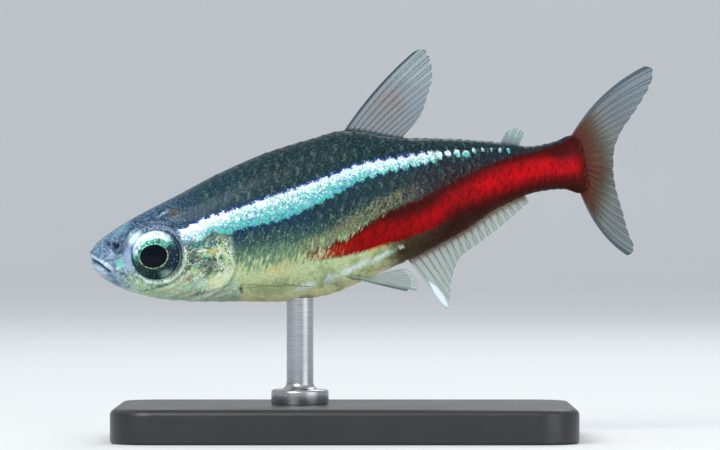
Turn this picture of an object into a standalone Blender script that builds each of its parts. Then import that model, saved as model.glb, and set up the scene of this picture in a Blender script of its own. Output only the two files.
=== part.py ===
# Neon tetra, life size, in one swimming pose on a plain display stand.
# The fish is told along its own straight axis in millimetres: s runs back from the snout, y runs to
# its right side, h runs up. place() then bends it, tips its nose down and carries it to metres,
# +Z up, with the origin at the centre of the stand base's underside.
import math

import bmesh
import bpy
import numpy as np
from mathutils import Matrix, Vector

MILLIMETRE = 0.001
GAP = 0.3  # clearance between neighbouring pieces

# The body: distance from the snout, height of the back, height of the belly, half width.
STATIONS = np.array((
    (0.0, 0.00, -0.10, 0.00),
    (0.25, 0.62, -0.93, 0.66),
    (0.9, 1.03, -1.52, 1.06),
    (2.0, 1.50, -2.22, 1.42),
    (3.3, 1.93, -2.78, 1.66),
    (5.0, 2.42, -3.21, 1.84),
    (7.3, 3.12, -3.66, 2.00),
    (10.0, 3.73, -4.13, 2.05),
    (12.4, 4.00, -4.08, 1.99),
    (14.2, 4.12, -3.66, 1.89),
    (17.0, 3.22, -2.97, 1.55),
    (19.5, 2.68, -2.19, 1.15),
    (21.8, 2.10, -1.28, 0.86),
    (24.0, 1.46, -0.95, 0.68),
    (25.2, 1.48, -1.08, 0.56),
    (26.2, 1.66, -1.50, 0.42),
))
SECTION_FULLNESS = 0.85  # below 1 the flanks are fuller than an ellipse
NORMAL_STEP = 0.01  # radians either side when a section's normal is worked out
SNOUT_START = 0.01
HEAD_END = 7.35
TAIL_STEM_START = 23.45
TAIL_STEM_END = 26.15


# Fineness of the body's meshes: rings along, points around
HEAD_MESH = (22, 32)
TORSO_MESH = (22, 28)
STEM_MESH = (6, 24)
EYE_SEGMENTS = 20
SOCKET_SEGMENTS = 24

# The pose
SUPPORT_S = 10.3  # where the rod meets the belly
NOSE_DOWN = math.radians(10.9)
TURN = math.radians(6.0)  # the tail points this much away from the viewer's side
TAIL_BEND = math.radians(8.0)  # and turns this much further by the root of the tail fin
BEND_START = 12.0
BEND_LIMIT = 1.1  # share of the bend at which it stops, just behind the tail stem
AXIS_TABLE = (-5.0, 40.0, 1801)  # s from, s to, steps of the table of the bent axis

# The head
EYE_CENTRE = (3.28, 1.25, -0.46)
EYE_RADIUS = 1.34
EYE_HALF_DEPTH = 0.62
EYE_TOE_OUT = math.radians(8.0)  # the eyes look a little forwards
MOUTH_CORNER = (0.78, -0.80)
MOUTH_SLOPE = math.radians(46.0)
MOUTH_LINE_WIDTH = 0.16
LIP_RADIUS = 0.21
LIP_SINK = 0.13
LIP_POINTS = 13
LIP_BEVEL = 2
NOSTRILS = ((0.98, 0.62, 0.17), (1.38, 0.42, 0.19))  # s, h and radius of the two openings a side
PIT_DEPTH = 0.3
NOSTRIL_FLAP = (1.17, 0.53)
FLAP_RADII = (0.09, 0.2, 0.2)
SLIT_SIZE = (3.0, 4.0)  # the cutter of the mouth line: further than the snout, wider than the head

# The gill covers
COVER_FRONT = 5.45
COVER_REAR = 7.30
COVER_TOP = math.radians(12.0)
COVER_BOTTOM = math.radians(-62.0)
COVER_THICKNESS = 0.5
COVER_LIFT = 0.10  # how far the free rear edge stands out
COVER_PROUD = 0.03  # how far the rest stands out
COVER_FRONT_BOW = 0.35
COVER_REAR_CORNER = 0.75  # how far the rear corners are drawn in
RECESS_HEIGHT = 1.0  # the cutter of a cover's recess reaches this far outside the skin
RECESS_RUN = 1.2  # and this far behind the cover
GAP_TURN = GAP / 2.2  # the clearance as a turn round the head's section

# Fins
FIN_HALF_THICKNESS = 0.25
EDGE_HALF_THICKNESS = 0.09
RAY_HEIGHT = 0.11
RAY_AT_EDGE = 0.35  # share of its height that a ray keeps at the margin
DORSAL_BASE = (14.05, 17.05)
DORSAL_RAYS = 11
DORSAL_MARGIN = ((18.62, 7.46), (19.16, 7.50), (19.38, 6.79), (19.34, 6.10),
                 (18.87, 5.05), (18.40, 4.26), (17.92, 3.84))
DORSAL_BOW = 0.18  # how far the front edge bulges
DORSAL_SWAY = -0.35  # how far the tip swings to the right side
ADIPOSE_BASE = (22.35, 23.1)
ADIPOSE_RAYS = 3
ADIPOSE_MARGIN = ((22.80, 2.62), (23.15, 2.78), (23.52, 2.70), (23.72, 2.42))
ANAL_BASE = (16.25, 22.7)
ANAL_RAYS = 18
ANAL_SWAY = 0.5
ANAL_MARGIN = ((17.72, -6.12), (18.02, -5.72), (18.35, -4.78), (19.0, -3.80),
               (20.2, -3.12), (21.4, -2.50), (22.4, -1.95), (23.1, -1.60))
UPPER_LOBE_ROOT = ((26.44, 1.62), (26.46, 0.22))
UPPER_LOBE_MARGIN = ((31.15, 4.56), (31.42, 4.30), (31.15, 3.55), (30.50, 2.82),
                     (29.65, 2.00), (28.90, 1.32), (28.36, 0.50), (28.05, -0.35))
UPPER_LOBE_RAYS = 10
LOWER_LOBE_ROOT = ((26.44, -1.48), (26.46, -0.12))
LOWER_LOBE_MARGIN = ((28.50, -5.22), (28.78, -5.02), (28.60, -4.00), (28.42, -3.10),
                     (28.26, -2.30), (28.10, -1.50), (28.00, -0.85))
LOWER_LOBE_RAYS = 9
LOBE_BOW = 0.46  # how far the lobes' outer edges bulge
UPPER_LOBE_SWAY = 0.5
LOWER_LOBE_SWAY = 1.6
PELVIC_RAYS = 7
PELVIC_ROOT = ((12.8, -52.0), (13.3, -70.0))  # s and angle in degrees at the root's two ends
PELVIC_MARGIN = ((16.15, 2.05, -4.78), (16.35, 1.80, -4.55), (16.30, 1.30, -4.10), (15.95, 0.85, -3.78))
PELVIC_OUTSET = 0.63  # the root's middle plane over the skin
PECTORAL_RAYS = 9
PECTORAL_ROOT = ((8.05, -43.0), (8.20, -56.0))
PECTORAL_MARGIN = ((10.90, 2.65, -3.35), (11.00, 2.55, -3.55), (10.70, 2.32, -3.80), (10.10, 2.00, -3.95))
PECTORAL_OUTSET = 0.55

# The stand
BASE_SIZE = (24.0, 15.0, 1.8)
BASE_CORNER = 2.2
BASE_EDGE = 0.35
ROD_X = -2.35
ROD_RADIUS = 0.7
ROD_FOOT_RADIUS = 1.5
ROD_FOOT_HEIGHT = 0.5
ROD_FOOT_EDGE = 0.15
ROD_FILLET = (0.25, 0.4)  # wider and higher than where the shaft meets its foot
ROD_TOP_ROOM = 0.9  # the shaft starts this much above the belly and is hollowed to it
ROD_STEPS = 24
HOLLOW_MESH = (13, 48)
HOLLOW_RUN = 3.0
BELLY_HEIGHT = 7.25  # belly above the floor at the rod

PART_NAME = "neon_tetra"


# Shape of the body

def station_value(column, s):
    """One column of STATIONS at s, as cubic curves in the square root of s, so the snout is round."""
    knots = np.sqrt(STATIONS[:, 0])
    values = STATIONS[:, column]
    slopes = np.gradient(values, knots)
    q = np.sqrt(np.clip(s, 0.0, STATIONS[-1, 0]))
    i = np.clip(np.searchsorted(knots, q) - 1, 0, len(knots) - 2)
    width = knots[i + 1] - knots[i]
    t = (q - knots[i]) / width
    start = (1 + 2 * t) * (1 - t) ** 2 * values[i] + t * (1 - t) ** 2 * width * slopes[i]
    end = t ** 2 * (3 - 2 * t) * values[i + 1] + t ** 2 * (t - 1) * width * slopes[i + 1]
    return start + end


def back(s):
    return station_value(1, s)


def belly(s):
    return station_value(2, s)


def section_point(s, angle):
    """Point of the skin: angle 0 is the fish's right side, a quarter turn is its back."""
    half_depth = (back(s) - belly(s)) / 2
    across = np.cos(angle)
    y = station_value(3, s) * np.sign(across) * np.abs(across) ** SECTION_FULLNESS
    h = (back(s) + belly(s)) / 2 + half_depth * np.sin(angle)
    return y, h


def skin(s, angle, outset=0.0):
    """Points of the skin, moved out along the normal of their cross-section."""
    s, angle, outset = np.broadcast_arrays(np.asarray(s, float), angle, outset)
    y, h = section_point(s, angle)
    y_before, h_before = section_point(s, angle - NORMAL_STEP)
    y_after, h_after = section_point(s, angle + NORMAL_STEP)
    along = np.stack([y_after - y_before, h_after - h_before], axis=-1)
    along = along / np.maximum(np.linalg.norm(along, axis=-1, keepdims=True), 1e-9)
    return np.stack([s, y + along[..., 1] * outset, h - along[..., 0] * outset], axis=-1)


def half_width_at(s, h):
    """Half width of the body at one height of one section."""
    rise = (h - (back(s) + belly(s)) / 2) / ((back(s) - belly(s)) / 2)
    return station_value(3, s) * (1 - np.clip(rise, -1, 1) ** 2) ** (SECTION_FULLNESS / 2)


def through(points, t):
    """Smooth curve through a few points, at t from 0 to 1 by their distance along it."""
    points = np.array(points, float)
    steps = np.linalg.norm(np.diff(points, axis=0), axis=1)
    knots = np.concatenate([[0.0], np.cumsum(steps)]) / steps.sum()
    slopes = np.gradient(points, knots, axis=0)
    i = np.clip(np.searchsorted(knots, t) - 1, 0, len(knots) - 2)
    width = (knots[i + 1] - knots[i])[:, None]
    u = (np.asarray(t) - knots[i])[:, None] / width
    start = (1 + 2 * u) * (1 - u) ** 2 * points[i] + u * (1 - u) ** 2 * width * slopes[i]
    end = u ** 2 * (3 - 2 * u) * points[i + 1] + u ** 2 * (u - 1) * width * slopes[i + 1]
    return start + end


# Pose

def centreline(s):
    """Place and heading of the bent axis, seen from above, for points at s."""
    table = np.linspace(*AXIS_TABLE)
    share = np.clip((table - BEND_START) / (TAIL_STEM_END - BEND_START), 0.0, BEND_LIMIT)
    heading = TURN + TAIL_BEND * share ** 2
    step = table[1] - table[0]
    x = np.concatenate([[0.0], np.cumsum(np.cos((heading[1:] + heading[:-1]) / 2) * step)])
    y = np.concatenate([[0.0], np.cumsum(np.sin((heading[1:] + heading[:-1]) / 2) * step)])
    x = x - np.interp(SUPPORT_S, table, x)
    y = y - np.interp(SUPPORT_S, table, y)
    return np.interp(s, table, x), np.interp(s, table, y), np.interp(s, table, heading)


def tip(x, h):
    """Nose-down tilt about the support point."""
    return (x * math.cos(NOSE_DOWN) - h * math.sin(NOSE_DOWN),
            x * math.sin(NOSE_DOWN) + h * math.cos(NOSE_DOWN))


def place(points):
    """The fish's own millimetres to the posed part's metres."""
    points = np.asarray(points, float)
    x, y, heading = centreline(points[..., 0])
    x = x - points[..., 1] * np.sin(heading)
    y = y + points[..., 1] * np.cos(heading)
    x, z = tip(x, points[..., 2])
    belly_x, belly_z = tip(0.0, float(belly(np.array(SUPPORT_S))))
    moved = np.stack([x - belly_x + ROD_X, y, z - belly_z + BELLY_HEIGHT], axis=-1)
    return moved * MILLIMETRE


# Mesh making

def principled(name, colour, roughness, metallic=0.0):
    material = bpy.data.materials.new(name)
    material.use_nodes = True
    shader = material.node_tree.nodes["Principled BSDF"]
    shader.inputs["Base Color"].default_value = (*colour, 1.0)
    shader.inputs["Roughness"].default_value = roughness
    shader.inputs["Metallic"].default_value = metallic
    return material


def new_object(name, points, faces, home):
    mesh = bpy.data.meshes.new(name)
    mesh.from_pydata(np.asarray(points).reshape(-1, 3).tolist(), [], [list(map(int, f)) for f in faces])
    body = bpy.data.objects.new(name, mesh)
    home.objects.link(body)
    point_out(body)
    return body


def point_out(body):
    made = bmesh.new()
    made.from_mesh(body.data)
    bmesh.ops.recalc_face_normals(made, faces=made.faces)
    made.to_mesh(body.data)
    made.free()


def loft(name, rings, home):
    """Closed body through rings of equally many points, each end closed by a fan."""
    count, around = rings.shape[:2]
    points = np.concatenate([rings.reshape(-1, 3), rings[:1].mean(axis=1), rings[-1:].mean(axis=1)])
    faces = []
    for i in range(count - 1):
        for j in range(around):
            a, b = i * around + j, i * around + (j + 1) % around
            faces += [(a, b, b + around), (a, b + around, a + around)]
    last = (count - 1) * around
    for j in range(around):
        following = (j + 1) % around
        faces.append((j, following, count * around))
        faces.append((last + j, last + following, count * around + 1))
    return new_object(name, points, faces, home)


def shell(name, outer, inner, home):
    """Closed thin piece between two grids of points, cut into triangles alike on both faces."""
    rows, columns = outer.shape[:2]
    points = np.concatenate([outer.reshape(-1, 3), inner.reshape(-1, 3)])
    offset = rows * columns
    faces = []
    for i in range(rows - 1):
        for j in range(columns - 1):
            a = i * columns + j
            for triangle in ((a, a + 1, a + columns + 1), (a, a + columns + 1, a + columns)):
                faces.append(triangle)
                faces.append(tuple(k + offset for k in reversed(triangle)))
    rim = list(range(columns))
    rim += [i * columns + columns - 1 for i in range(1, rows)]
    rim += [(rows - 1) * columns + j for j in range(columns - 2, -1, -1)]
    rim += [i * columns for i in range(rows - 2, 0, -1)]
    for k, a in enumerate(rim):
        b = rim[(k + 1) % len(rim)]
        faces += [(a, b, b + offset), (a, b + offset, a + offset)]
    return new_object(name, points, faces, home)


def grid_normals(grid):
    down, across = np.gradient(grid, axis=0), np.gradient(grid, axis=1)
    normal = np.cross(down, across)
    return normal / np.linalg.norm(normal, axis=-1, keepdims=True)


def evaluated_mesh(body):
    depsgraph = bpy.context.evaluated_depsgraph_get()
    return bpy.data.meshes.new_from_object(body.evaluated_get(depsgraph))


def combine(body, tools, operation, solver="EXACT"):
    """One Boolean of the body with a collection of closed tools, applied, and the tools removed."""
    group = bpy.data.collections.new("cutters")
    bpy.context.scene.collection.children.link(group)
    for tool in tools:
        group.objects.link(tool)
        tool.hide_render = True
        tool.display_type = "WIRE"
    change = body.modifiers.new("join", "BOOLEAN")
    change.operation = operation
    change.solver = solver
    change.operand_type = "COLLECTION"
    change.collection = group
    mesh = evaluated_mesh(body)
    body.modifiers.clear()
    body.data = mesh
    for tool in tools:
        bpy.data.objects.remove(tool)
    bpy.data.collections.remove(group)


def keep_largest(body):
    """Only the biggest closed surface stays."""
    made = bmesh.new()
    made.from_mesh(body.data)
    bmesh.ops.remove_doubles(made, verts=made.verts, dist=0.0005)
    bmesh.ops.dissolve_degenerate(made, edges=made.edges, dist=0.0005)
    bmesh.ops.triangulate(made, faces=made.faces)
    waiting = set(made.verts)
    islands = []
    while waiting:
        front = [waiting.pop()]
        island = set(front)
        while front:
            for edge in front.pop().link_edges:
                for vertex in edge.verts:
                    if vertex in waiting:
                        waiting.discard(vertex)
                        island.add(vertex)
                        front.append(vertex)
        islands.append(island)
    largest = max(islands, key=len)
    spare = [vertex for vertex in made.verts if vertex not in largest]
    bmesh.ops.delete(made, geom=spare, context="VERTS")
    made.to_mesh(body.data)
    made.free()


def finish(body, material, posed=True):
    """Carry a finished mesh to its place in metres and give it its material."""
    points = np.array([vertex.co[:] for vertex in body.data.vertices])
    points = place(points) if posed else points * MILLIMETRE
    body.data.vertices.foreach_set("co", points.ravel())
    body.data.materials.clear()
    body.data.materials.append(material)
    body.data.shade_smooth()
    body.data.set_sharp_from_angle(angle=math.radians(40))
    body.data.update()
    return body


# Body pieces

def body_rings(positions, around, outset=0.0):
    angles = np.linspace(0, 2 * math.pi, around, endpoint=False)
    return skin(np.asarray(positions)[:, None], angles[None, :], outset)


def eye_frame(side):
    """Matrix that carries a ball at the origin to one eye's place and look."""
    s, y, h = EYE_CENTRE
    return Matrix.Translation(Vector((s, side * y, h))) @ Matrix.Rotation(-side * EYE_TOE_OUT, 4, "Z")


def eye_ball(name, side, grow, segments, home):
    made = bmesh.new()
    bmesh.ops.create_uvsphere(made, u_segments=segments, v_segments=segments // 2, radius=1.0,
                              matrix=Matrix.Rotation(math.pi / 2, 4, "X"))
    size = Matrix.Diagonal((EYE_RADIUS + grow, EYE_HALF_DEPTH + grow, EYE_RADIUS + grow, 1.0))
    made.transform(eye_frame(side) @ size)
    mesh = bpy.data.meshes.new(name)
    made.to_mesh(mesh)
    made.free()
    body = bpy.data.objects.new(name, mesh)
    home.objects.link(body)
    point_out(body)
    return body


def cover_grids(side, rows, columns, recess=False):
    """Outer and inner grid of a gill cover, a plate with a rounded free rear edge, or of the recess
    cut for it, which is larger by the clearance and open behind."""
    margin, turn, run = (GAP, GAP_TURN, RECESS_RUN) if recess else (0.0, 0.0, 0.0)
    v = np.linspace(0.0, 1.0, columns)[None, :]
    u = np.linspace(0.0, 1.0, rows)[:, None]
    angle = COVER_TOP + turn + (COVER_BOTTOM - COVER_TOP - 2 * turn) * v
    front = COVER_FRONT - margin + COVER_FRONT_BOW * (2 * v - 1) ** 2
    rear = COVER_REAR - COVER_REAR_CORNER * np.abs(2 * v - 1) ** 3 + run
    s = front + (rear - front) * u
    lift = COVER_LIFT * u ** 2 + 0 * s
    if recess:
        outer, inner = RECESS_HEIGHT + lift, -COVER_THICKNESS - GAP
    else:
        outer, inner = COVER_PROUD + lift, COVER_PROUD + lift - COVER_THICKNESS
    grids = skin(s, angle, outer), skin(s, angle, inner)
    for grid in grids:
        grid[..., 1] *= side
    return grids


def ellipsoid(name, centre, radii, home):
    made = bmesh.new()
    bmesh.ops.create_uvsphere(made, u_segments=10, v_segments=6, radius=1.0)
    made.transform(Matrix.Translation(Vector(centre)) @ Matrix.Diagonal((*radii, 1.0)))
    mesh = bpy.data.meshes.new(name)
    made.to_mesh(mesh)
    made.free()
    body = bpy.data.objects.new(name, mesh)
    home.objects.link(body)
    point_out(body)
    return body


def lips(home):
    """A roll of flesh that follows the mouth line from corner to corner round the snout."""
    corner_s, corner_h = MOUTH_CORNER
    root = np.linspace(-math.sqrt(corner_s), math.sqrt(corner_s), LIP_POINTS)
    s = root ** 2
    h = corner_h + (corner_s - s) * math.tan(MOUTH_SLOPE)
    y = np.sign(root) * np.maximum(half_width_at(s, h) - LIP_SINK, 0.0)
    line = bpy.data.curves.new("lips", "CURVE")
    line.dimensions = "3D"
    line.bevel_depth = LIP_RADIUS
    line.bevel_resolution = LIP_BEVEL
    line.use_fill_caps = True
    path = line.splines.new("POLY")
    path.points.add(len(s) - 1)
    for point, x, across, up in zip(path.points, s + LIP_SINK, y, h):
        point.co = (x, across, up, 1.0)
    drawn = bpy.data.objects.new("lips", line)
    home.objects.link(drawn)
    mesh = evaluated_mesh(drawn)
    bpy.data.objects.remove(drawn)
    roll = bpy.data.objects.new("lips", mesh)
    home.objects.link(roll)
    made = bmesh.new()
    made.from_mesh(mesh)
    bmesh.ops.remove_doubles(made, verts=made.verts, dist=0.001)
    bmesh.ops.recalc_face_normals(made, faces=made.faces)
    made.to_mesh(mesh)
    made.free()
    return roll


def mouth_slit(home):
    """Thin plate along the mouth line, as deep as the mouth's corners."""
    corner_s, corner_h = MOUTH_CORNER
    length, width = SLIT_SIZE
    made = bmesh.new()
    bmesh.ops.create_cube(made, size=1.0, matrix=Matrix.Diagonal((length, width, MOUTH_LINE_WIDTH, 1.0)))
    made.transform(Matrix.Translation((corner_s, 0, corner_h)) @ Matrix.Rotation(MOUTH_SLOPE, 4, "Y")
                   @ Matrix.Translation((-length / 2, 0, 0)))
    mesh = bpy.data.meshes.new("mouth_slit")
    made.to_mesh(mesh)
    made.free()
    plate = bpy.data.objects.new("mouth_slit", mesh)
    home.objects.link(plate)
    return plate


def head(home):
    rings, around = HEAD_MESH
    root = np.linspace(math.sqrt(SNOUT_START), math.sqrt(HEAD_END), rings)
    body = loft("head", body_rings(root ** 2, around), home)
    joined = [lips(home)]
    flap_s, flap_h = NOSTRIL_FLAP
    for side in (-1, 1):
        y = float(half_width_at(np.array(flap_s), flap_h))
        joined.append(ellipsoid("flap", (flap_s, side * y, flap_h), FLAP_RADII, home))
    combine(body, joined, "UNION")
    cutters = [mouth_slit(home)]
    for side in (-1, 1):
        cutters.append(eye_ball("socket", side, GAP, SOCKET_SEGMENTS, home))
        cutters.append(shell("recess", *cover_grids(side, 6, 9, recess=True), home))
        for s, h, radius in NOSTRILS:
            y = float(half_width_at(np.array(s), h))
            cutters.append(ellipsoid("pit", (s, side * y, h), (radius, PIT_DEPTH, radius), home))
    combine(body, cutters, "DIFFERENCE")
    keep_largest(body)
    return finish(body, principled("head_skin", (0.22, 0.27, 0.27), 0.35))


def eyes(home):
    for side, name in ((-1, "eye_left"), (1, "eye_right")):
        ball = eye_ball(name, side, 0.0, EYE_SEGMENTS, home)
        finish(ball, principled(name, (0.05, 0.09, 0.12), 0.08))


def gill_covers(home):
    for side, name in ((-1, "gill_cover_left"), (1, "gill_cover_right")):
        cover = shell(name, *cover_grids(side, 7, 10), home)
        finish(cover, principled(name, (0.42, 0.42, 0.30), 0.3))


def torso(home):
    rings, around = TORSO_MESH
    positions = np.linspace(HEAD_END + GAP, TAIL_STEM_START - GAP, rings)
    body = loft("torso", body_rings(positions, around), home)
    return finish(body, principled("torso_skin", (0.12, 0.18, 0.20), 0.35))


def tail_stem(home):
    rings, around = STEM_MESH
    positions = np.linspace(TAIL_STEM_START, TAIL_STEM_END, rings)
    body = loft("tail_stem", body_rings(positions, around), home)
    return finish(body, principled("tail_stem_skin", (0.42, 0.05, 0.06), 0.35))


# Fins

def fin(name, root, margin, rays, bow, home, rows=7):
    """Membrane from its root line to its margin, with its rays raised as ridges on both faces.
    root and margin give points for shares along them, bow moves points by share across and out."""
    columns = 2 * rays + 1
    u = np.linspace(0.0, 1.0, columns)
    v = np.linspace(0.0, 1.0, rows)[:, None, None]
    grid = root(u)[None] * (1 - v) + margin(u)[None] * v
    grid = grid + bow(np.broadcast_to(u, grid.shape[:2]), np.broadcast_to(v[..., 0], grid.shape[:2]))
    taper = 1 - v[..., 0] ** 3
    ridge = np.zeros(columns)
    ridge[1::2] = RAY_HEIGHT
    half = EDGE_HALF_THICKNESS + (FIN_HALF_THICKNESS - EDGE_HALF_THICKNESS) * taper
    half = half + ridge[None, :] * (RAY_AT_EDGE + (1 - RAY_AT_EDGE) * taper)
    out = grid_normals(grid) * half[..., None]
    return shell(name, grid + out, grid - out, home)


def flat(points):
    """Points in the middle plane, given by s and h."""
    points = np.asarray(points, float)
    return np.stack([points[:, 0], np.zeros(len(points)), points[:, 1]], axis=-1)


def swaying(amount):
    """Sideways swing that grows towards the outer edge and the tip."""
    return lambda across, out: np.stack([0 * out, amount * (1 - across) * out ** 1.5, 0 * out], axis=-1)


def bowed(start, end, bulge, amount, upward):
    """Swing of a fin whose outer edge, from start to end, also bulges in its own plane."""
    run = np.array(end) - np.array(start)
    outward = np.array([-run[1], run[0]]) / np.linalg.norm(run) * upward
    swing = swaying(amount)

    def bow(across, out):
        swell = bulge * 4 * out * (1 - out) * (1 - across) ** 1.5
        return swing(across, out) + np.stack([swell * outward[0], 0 * out, swell * outward[1]], -1)

    return bow


def median_root(base, edge, direction):
    """Root line that follows the back or the belly at the clearance."""
    return lambda u: flat(np.stack([base[0] + (base[1] - base[0]) * u,
                                    edge(base[0] + (base[1] - base[0]) * u) + direction * GAP], -1))


def dorsal_fin(home):
    start = DORSAL_BASE[0]
    bow = bowed((start, float(back(np.array(start)))), DORSAL_MARGIN[0], DORSAL_BOW, DORSAL_SWAY, 1)
    piece = fin("dorsal_fin", median_root(DORSAL_BASE, back, 1),
                lambda u: flat(through(DORSAL_MARGIN, u)), DORSAL_RAYS, bow, home)
    return finish(piece, principled("dorsal_fin", (0.30, 0.36, 0.37), 0.3))


def adipose_fin(home):
    piece = fin("adipose_fin", median_root(ADIPOSE_BASE, back, 1),
                lambda u: flat(through(ADIPOSE_MARGIN, u)), ADIPOSE_RAYS, swaying(0.0), home, rows=4)
    return finish(piece, principled("adipose_fin", (0.34, 0.40, 0.38), 0.3))


def anal_fin(home):
    piece = fin("anal_fin", median_root(ANAL_BASE, belly, -1),
                lambda u: flat(through(ANAL_MARGIN, u)), ANAL_RAYS, swaying(ANAL_SWAY), home, rows=6)
    return finish(piece, principled("anal_fin", (0.36, 0.46, 0.36), 0.3))


def lobe(name, root, margin, rays, swing, upward, home):
    """One half of the forked tail fin, its outer edge bowed out."""
    start, end = (np.array(point) for point in root)
    return fin(name, lambda u: flat(start + (end - start) * u[:, None]),
               lambda u: flat(through(margin, u)), rays,
               bowed(root[0], margin[0], LOBE_BOW, swing, upward), home, rows=8)


def caudal_fin(home):
    upper = lobe("caudal_fin_upper", UPPER_LOBE_ROOT, UPPER_LOBE_MARGIN, UPPER_LOBE_RAYS,
                 UPPER_LOBE_SWAY, 1, home)
    lower = lobe("caudal_fin_lower", LOWER_LOBE_ROOT, LOWER_LOBE_MARGIN, LOWER_LOBE_RAYS,
                 LOWER_LOBE_SWAY, -1, home)
    finish(upper, principled("caudal_fin_upper", (0.36, 0.38, 0.40), 0.3))
    finish(lower, principled("caudal_fin_lower", (0.36, 0.36, 0.38), 0.3))


def paired_fin(name, side, ends, outset, margin, rays, home):
    """A fin of one side, from a root line over the skin to a margin through given points."""
    margin = np.array(margin, float) * (1, side, 1)
    (start_s, start_angle), (end_s, end_angle) = ends

    def root(u):
        angle = np.radians(start_angle + (end_angle - start_angle) * u)
        return skin(start_s + (end_s - start_s) * u, angle, outset) * (1, side, 1)

    return fin(name, root, lambda u: through(margin, u), rays, swaying(0.0), home, rows=5)


def pelvic_fins(home):
    for side, name in ((-1, "pelvic_fin_left"), (1, "pelvic_fin_right")):
        piece = paired_fin(name, side, PELVIC_ROOT, PELVIC_OUTSET, PELVIC_MARGIN, PELVIC_RAYS, home)
        finish(piece, principled(name, (0.40, 0.47, 0.42), 0.3))


def pectoral_fins(home):
    for side, name in ((-1, "pectoral_fin_left"), (1, "pectoral_fin_right")):
        piece = paired_fin(name, side, PECTORAL_ROOT, PECTORAL_OUTSET, PECTORAL_MARGIN, PECTORAL_RAYS, home)
        finish(piece, principled(name, (0.45, 0.50, 0.48), 0.3))


# Stand

def stand_base(home):
    made = bmesh.new()
    bmesh.ops.create_cube(made, size=1.0, matrix=Matrix.Translation((0, 0, BASE_SIZE[2] / 2))
                          @ Matrix.Diagonal((*BASE_SIZE, 1.0)))
    upright = [edge for edge in made.edges if abs(edge.verts[0].co.z - edge.verts[1].co.z) > 1.0]
    bmesh.ops.bevel(made, geom=upright, offset=BASE_CORNER, segments=5, profile=0.5, affect="EDGES")
    top = [edge for edge in made.edges if min(vertex.co.z for vertex in edge.verts) > BASE_SIZE[2] - 0.001]
    bmesh.ops.bevel(made, geom=top, offset=BASE_EDGE, segments=2, profile=0.5, affect="EDGES")
    mesh = bpy.data.meshes.new("stand_base")
    made.to_mesh(mesh)
    made.free()
    base = bpy.data.objects.new("stand_base", mesh)
    home.objects.link(base)
    return finish(base, principled("stand_base", (0.02, 0.02, 0.022), 0.25), posed=False)


def stand_rod(home):
    """Turned rod with a small foot, its top hollowed to the belly it holds."""
    foot = BASE_SIZE[2] + GAP
    shoulder = foot + ROD_FOOT_HEIGHT
    top = BELLY_HEIGHT + ROD_TOP_ROOM
    wider, higher = ROD_FILLET
    outline = ((0.0, top), (ROD_RADIUS, top), (ROD_RADIUS, shoulder + higher),
               (ROD_RADIUS + wider, shoulder), (ROD_FOOT_RADIUS - ROD_FOOT_EDGE, shoulder),
               (ROD_FOOT_RADIUS, shoulder - ROD_FOOT_EDGE), (ROD_FOOT_RADIUS, foot), (0.0, foot))
    mesh = bpy.data.meshes.new("stand_rod")
    mesh.from_pydata([(x, 0, z) for x, z in outline], [(i, i + 1) for i in range(len(outline) - 1)], [])
    rod = bpy.data.objects.new("stand_rod", mesh)
    home.objects.link(rod)
    turn = rod.modifiers.new("turn", "SCREW")
    turn.steps = ROD_STEPS
    turn.render_steps = ROD_STEPS
    turn.use_merge_vertices = True
    turn.merge_threshold = 0.0001
    rod.data = evaluated_mesh(rod)
    rod.modifiers.clear()
    point_out(rod)
    points = np.array([vertex.co[:] for vertex in rod.data.vertices]) + (ROD_X, 0, 0)
    rod.data.vertices.foreach_set("co", points.ravel())
    rings, around = HOLLOW_MESH
    positions = np.linspace(SUPPORT_S - HOLLOW_RUN, SUPPORT_S + HOLLOW_RUN, rings)
    hollow = loft("hollow", place(body_rings(positions, around, GAP)) / MILLIMETRE, home)
    combine(rod, [hollow], "DIFFERENCE")
    keep_largest(rod)
    return finish(rod, principled("stand_rod", (0.75, 0.76, 0.78), 0.2, 1.0), posed=False)


def main():
    for old in list(bpy.data.objects):
        bpy.data.objects.remove(old)
    home = bpy.data.collections.new(PART_NAME)
    bpy.context.scene.collection.children.link(home)
    head(home)
    eyes(home)
    gill_covers(home)
    torso(home)
    tail_stem(home)
    dorsal_fin(home)
    adipose_fin(home)
    anal_fin(home)
    caudal_fin(home)
    pelvic_fins(home)
    pectoral_fins(home)
    stand_base(home)
    stand_rod(home)


main()
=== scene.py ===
import math
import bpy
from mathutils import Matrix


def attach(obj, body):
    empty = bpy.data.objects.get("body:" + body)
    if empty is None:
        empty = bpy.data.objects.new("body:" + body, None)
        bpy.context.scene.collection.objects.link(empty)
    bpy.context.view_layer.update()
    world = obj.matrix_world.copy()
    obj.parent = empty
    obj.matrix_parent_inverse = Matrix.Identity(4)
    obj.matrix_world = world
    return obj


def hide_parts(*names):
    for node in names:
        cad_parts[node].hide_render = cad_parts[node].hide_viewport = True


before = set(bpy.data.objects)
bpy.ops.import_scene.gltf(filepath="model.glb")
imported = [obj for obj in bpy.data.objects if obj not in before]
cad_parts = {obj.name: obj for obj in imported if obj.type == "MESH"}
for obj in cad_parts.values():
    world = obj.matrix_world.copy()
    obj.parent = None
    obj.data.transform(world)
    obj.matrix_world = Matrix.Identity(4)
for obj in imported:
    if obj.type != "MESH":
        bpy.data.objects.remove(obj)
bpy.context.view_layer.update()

from types import SimpleNamespace

import bpy
import numpy as np
from mathutils import Vector

# A neon tetra held on a plain display stand. The fish is worked out along its own straight axis in
# millimetres (s back from the snout, y to its right side, h up), then place() bends and tilts it.
# Colours are screen values from 0 to 255 until tint() turns them into linear ones.

millimetre = 0.001

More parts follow.
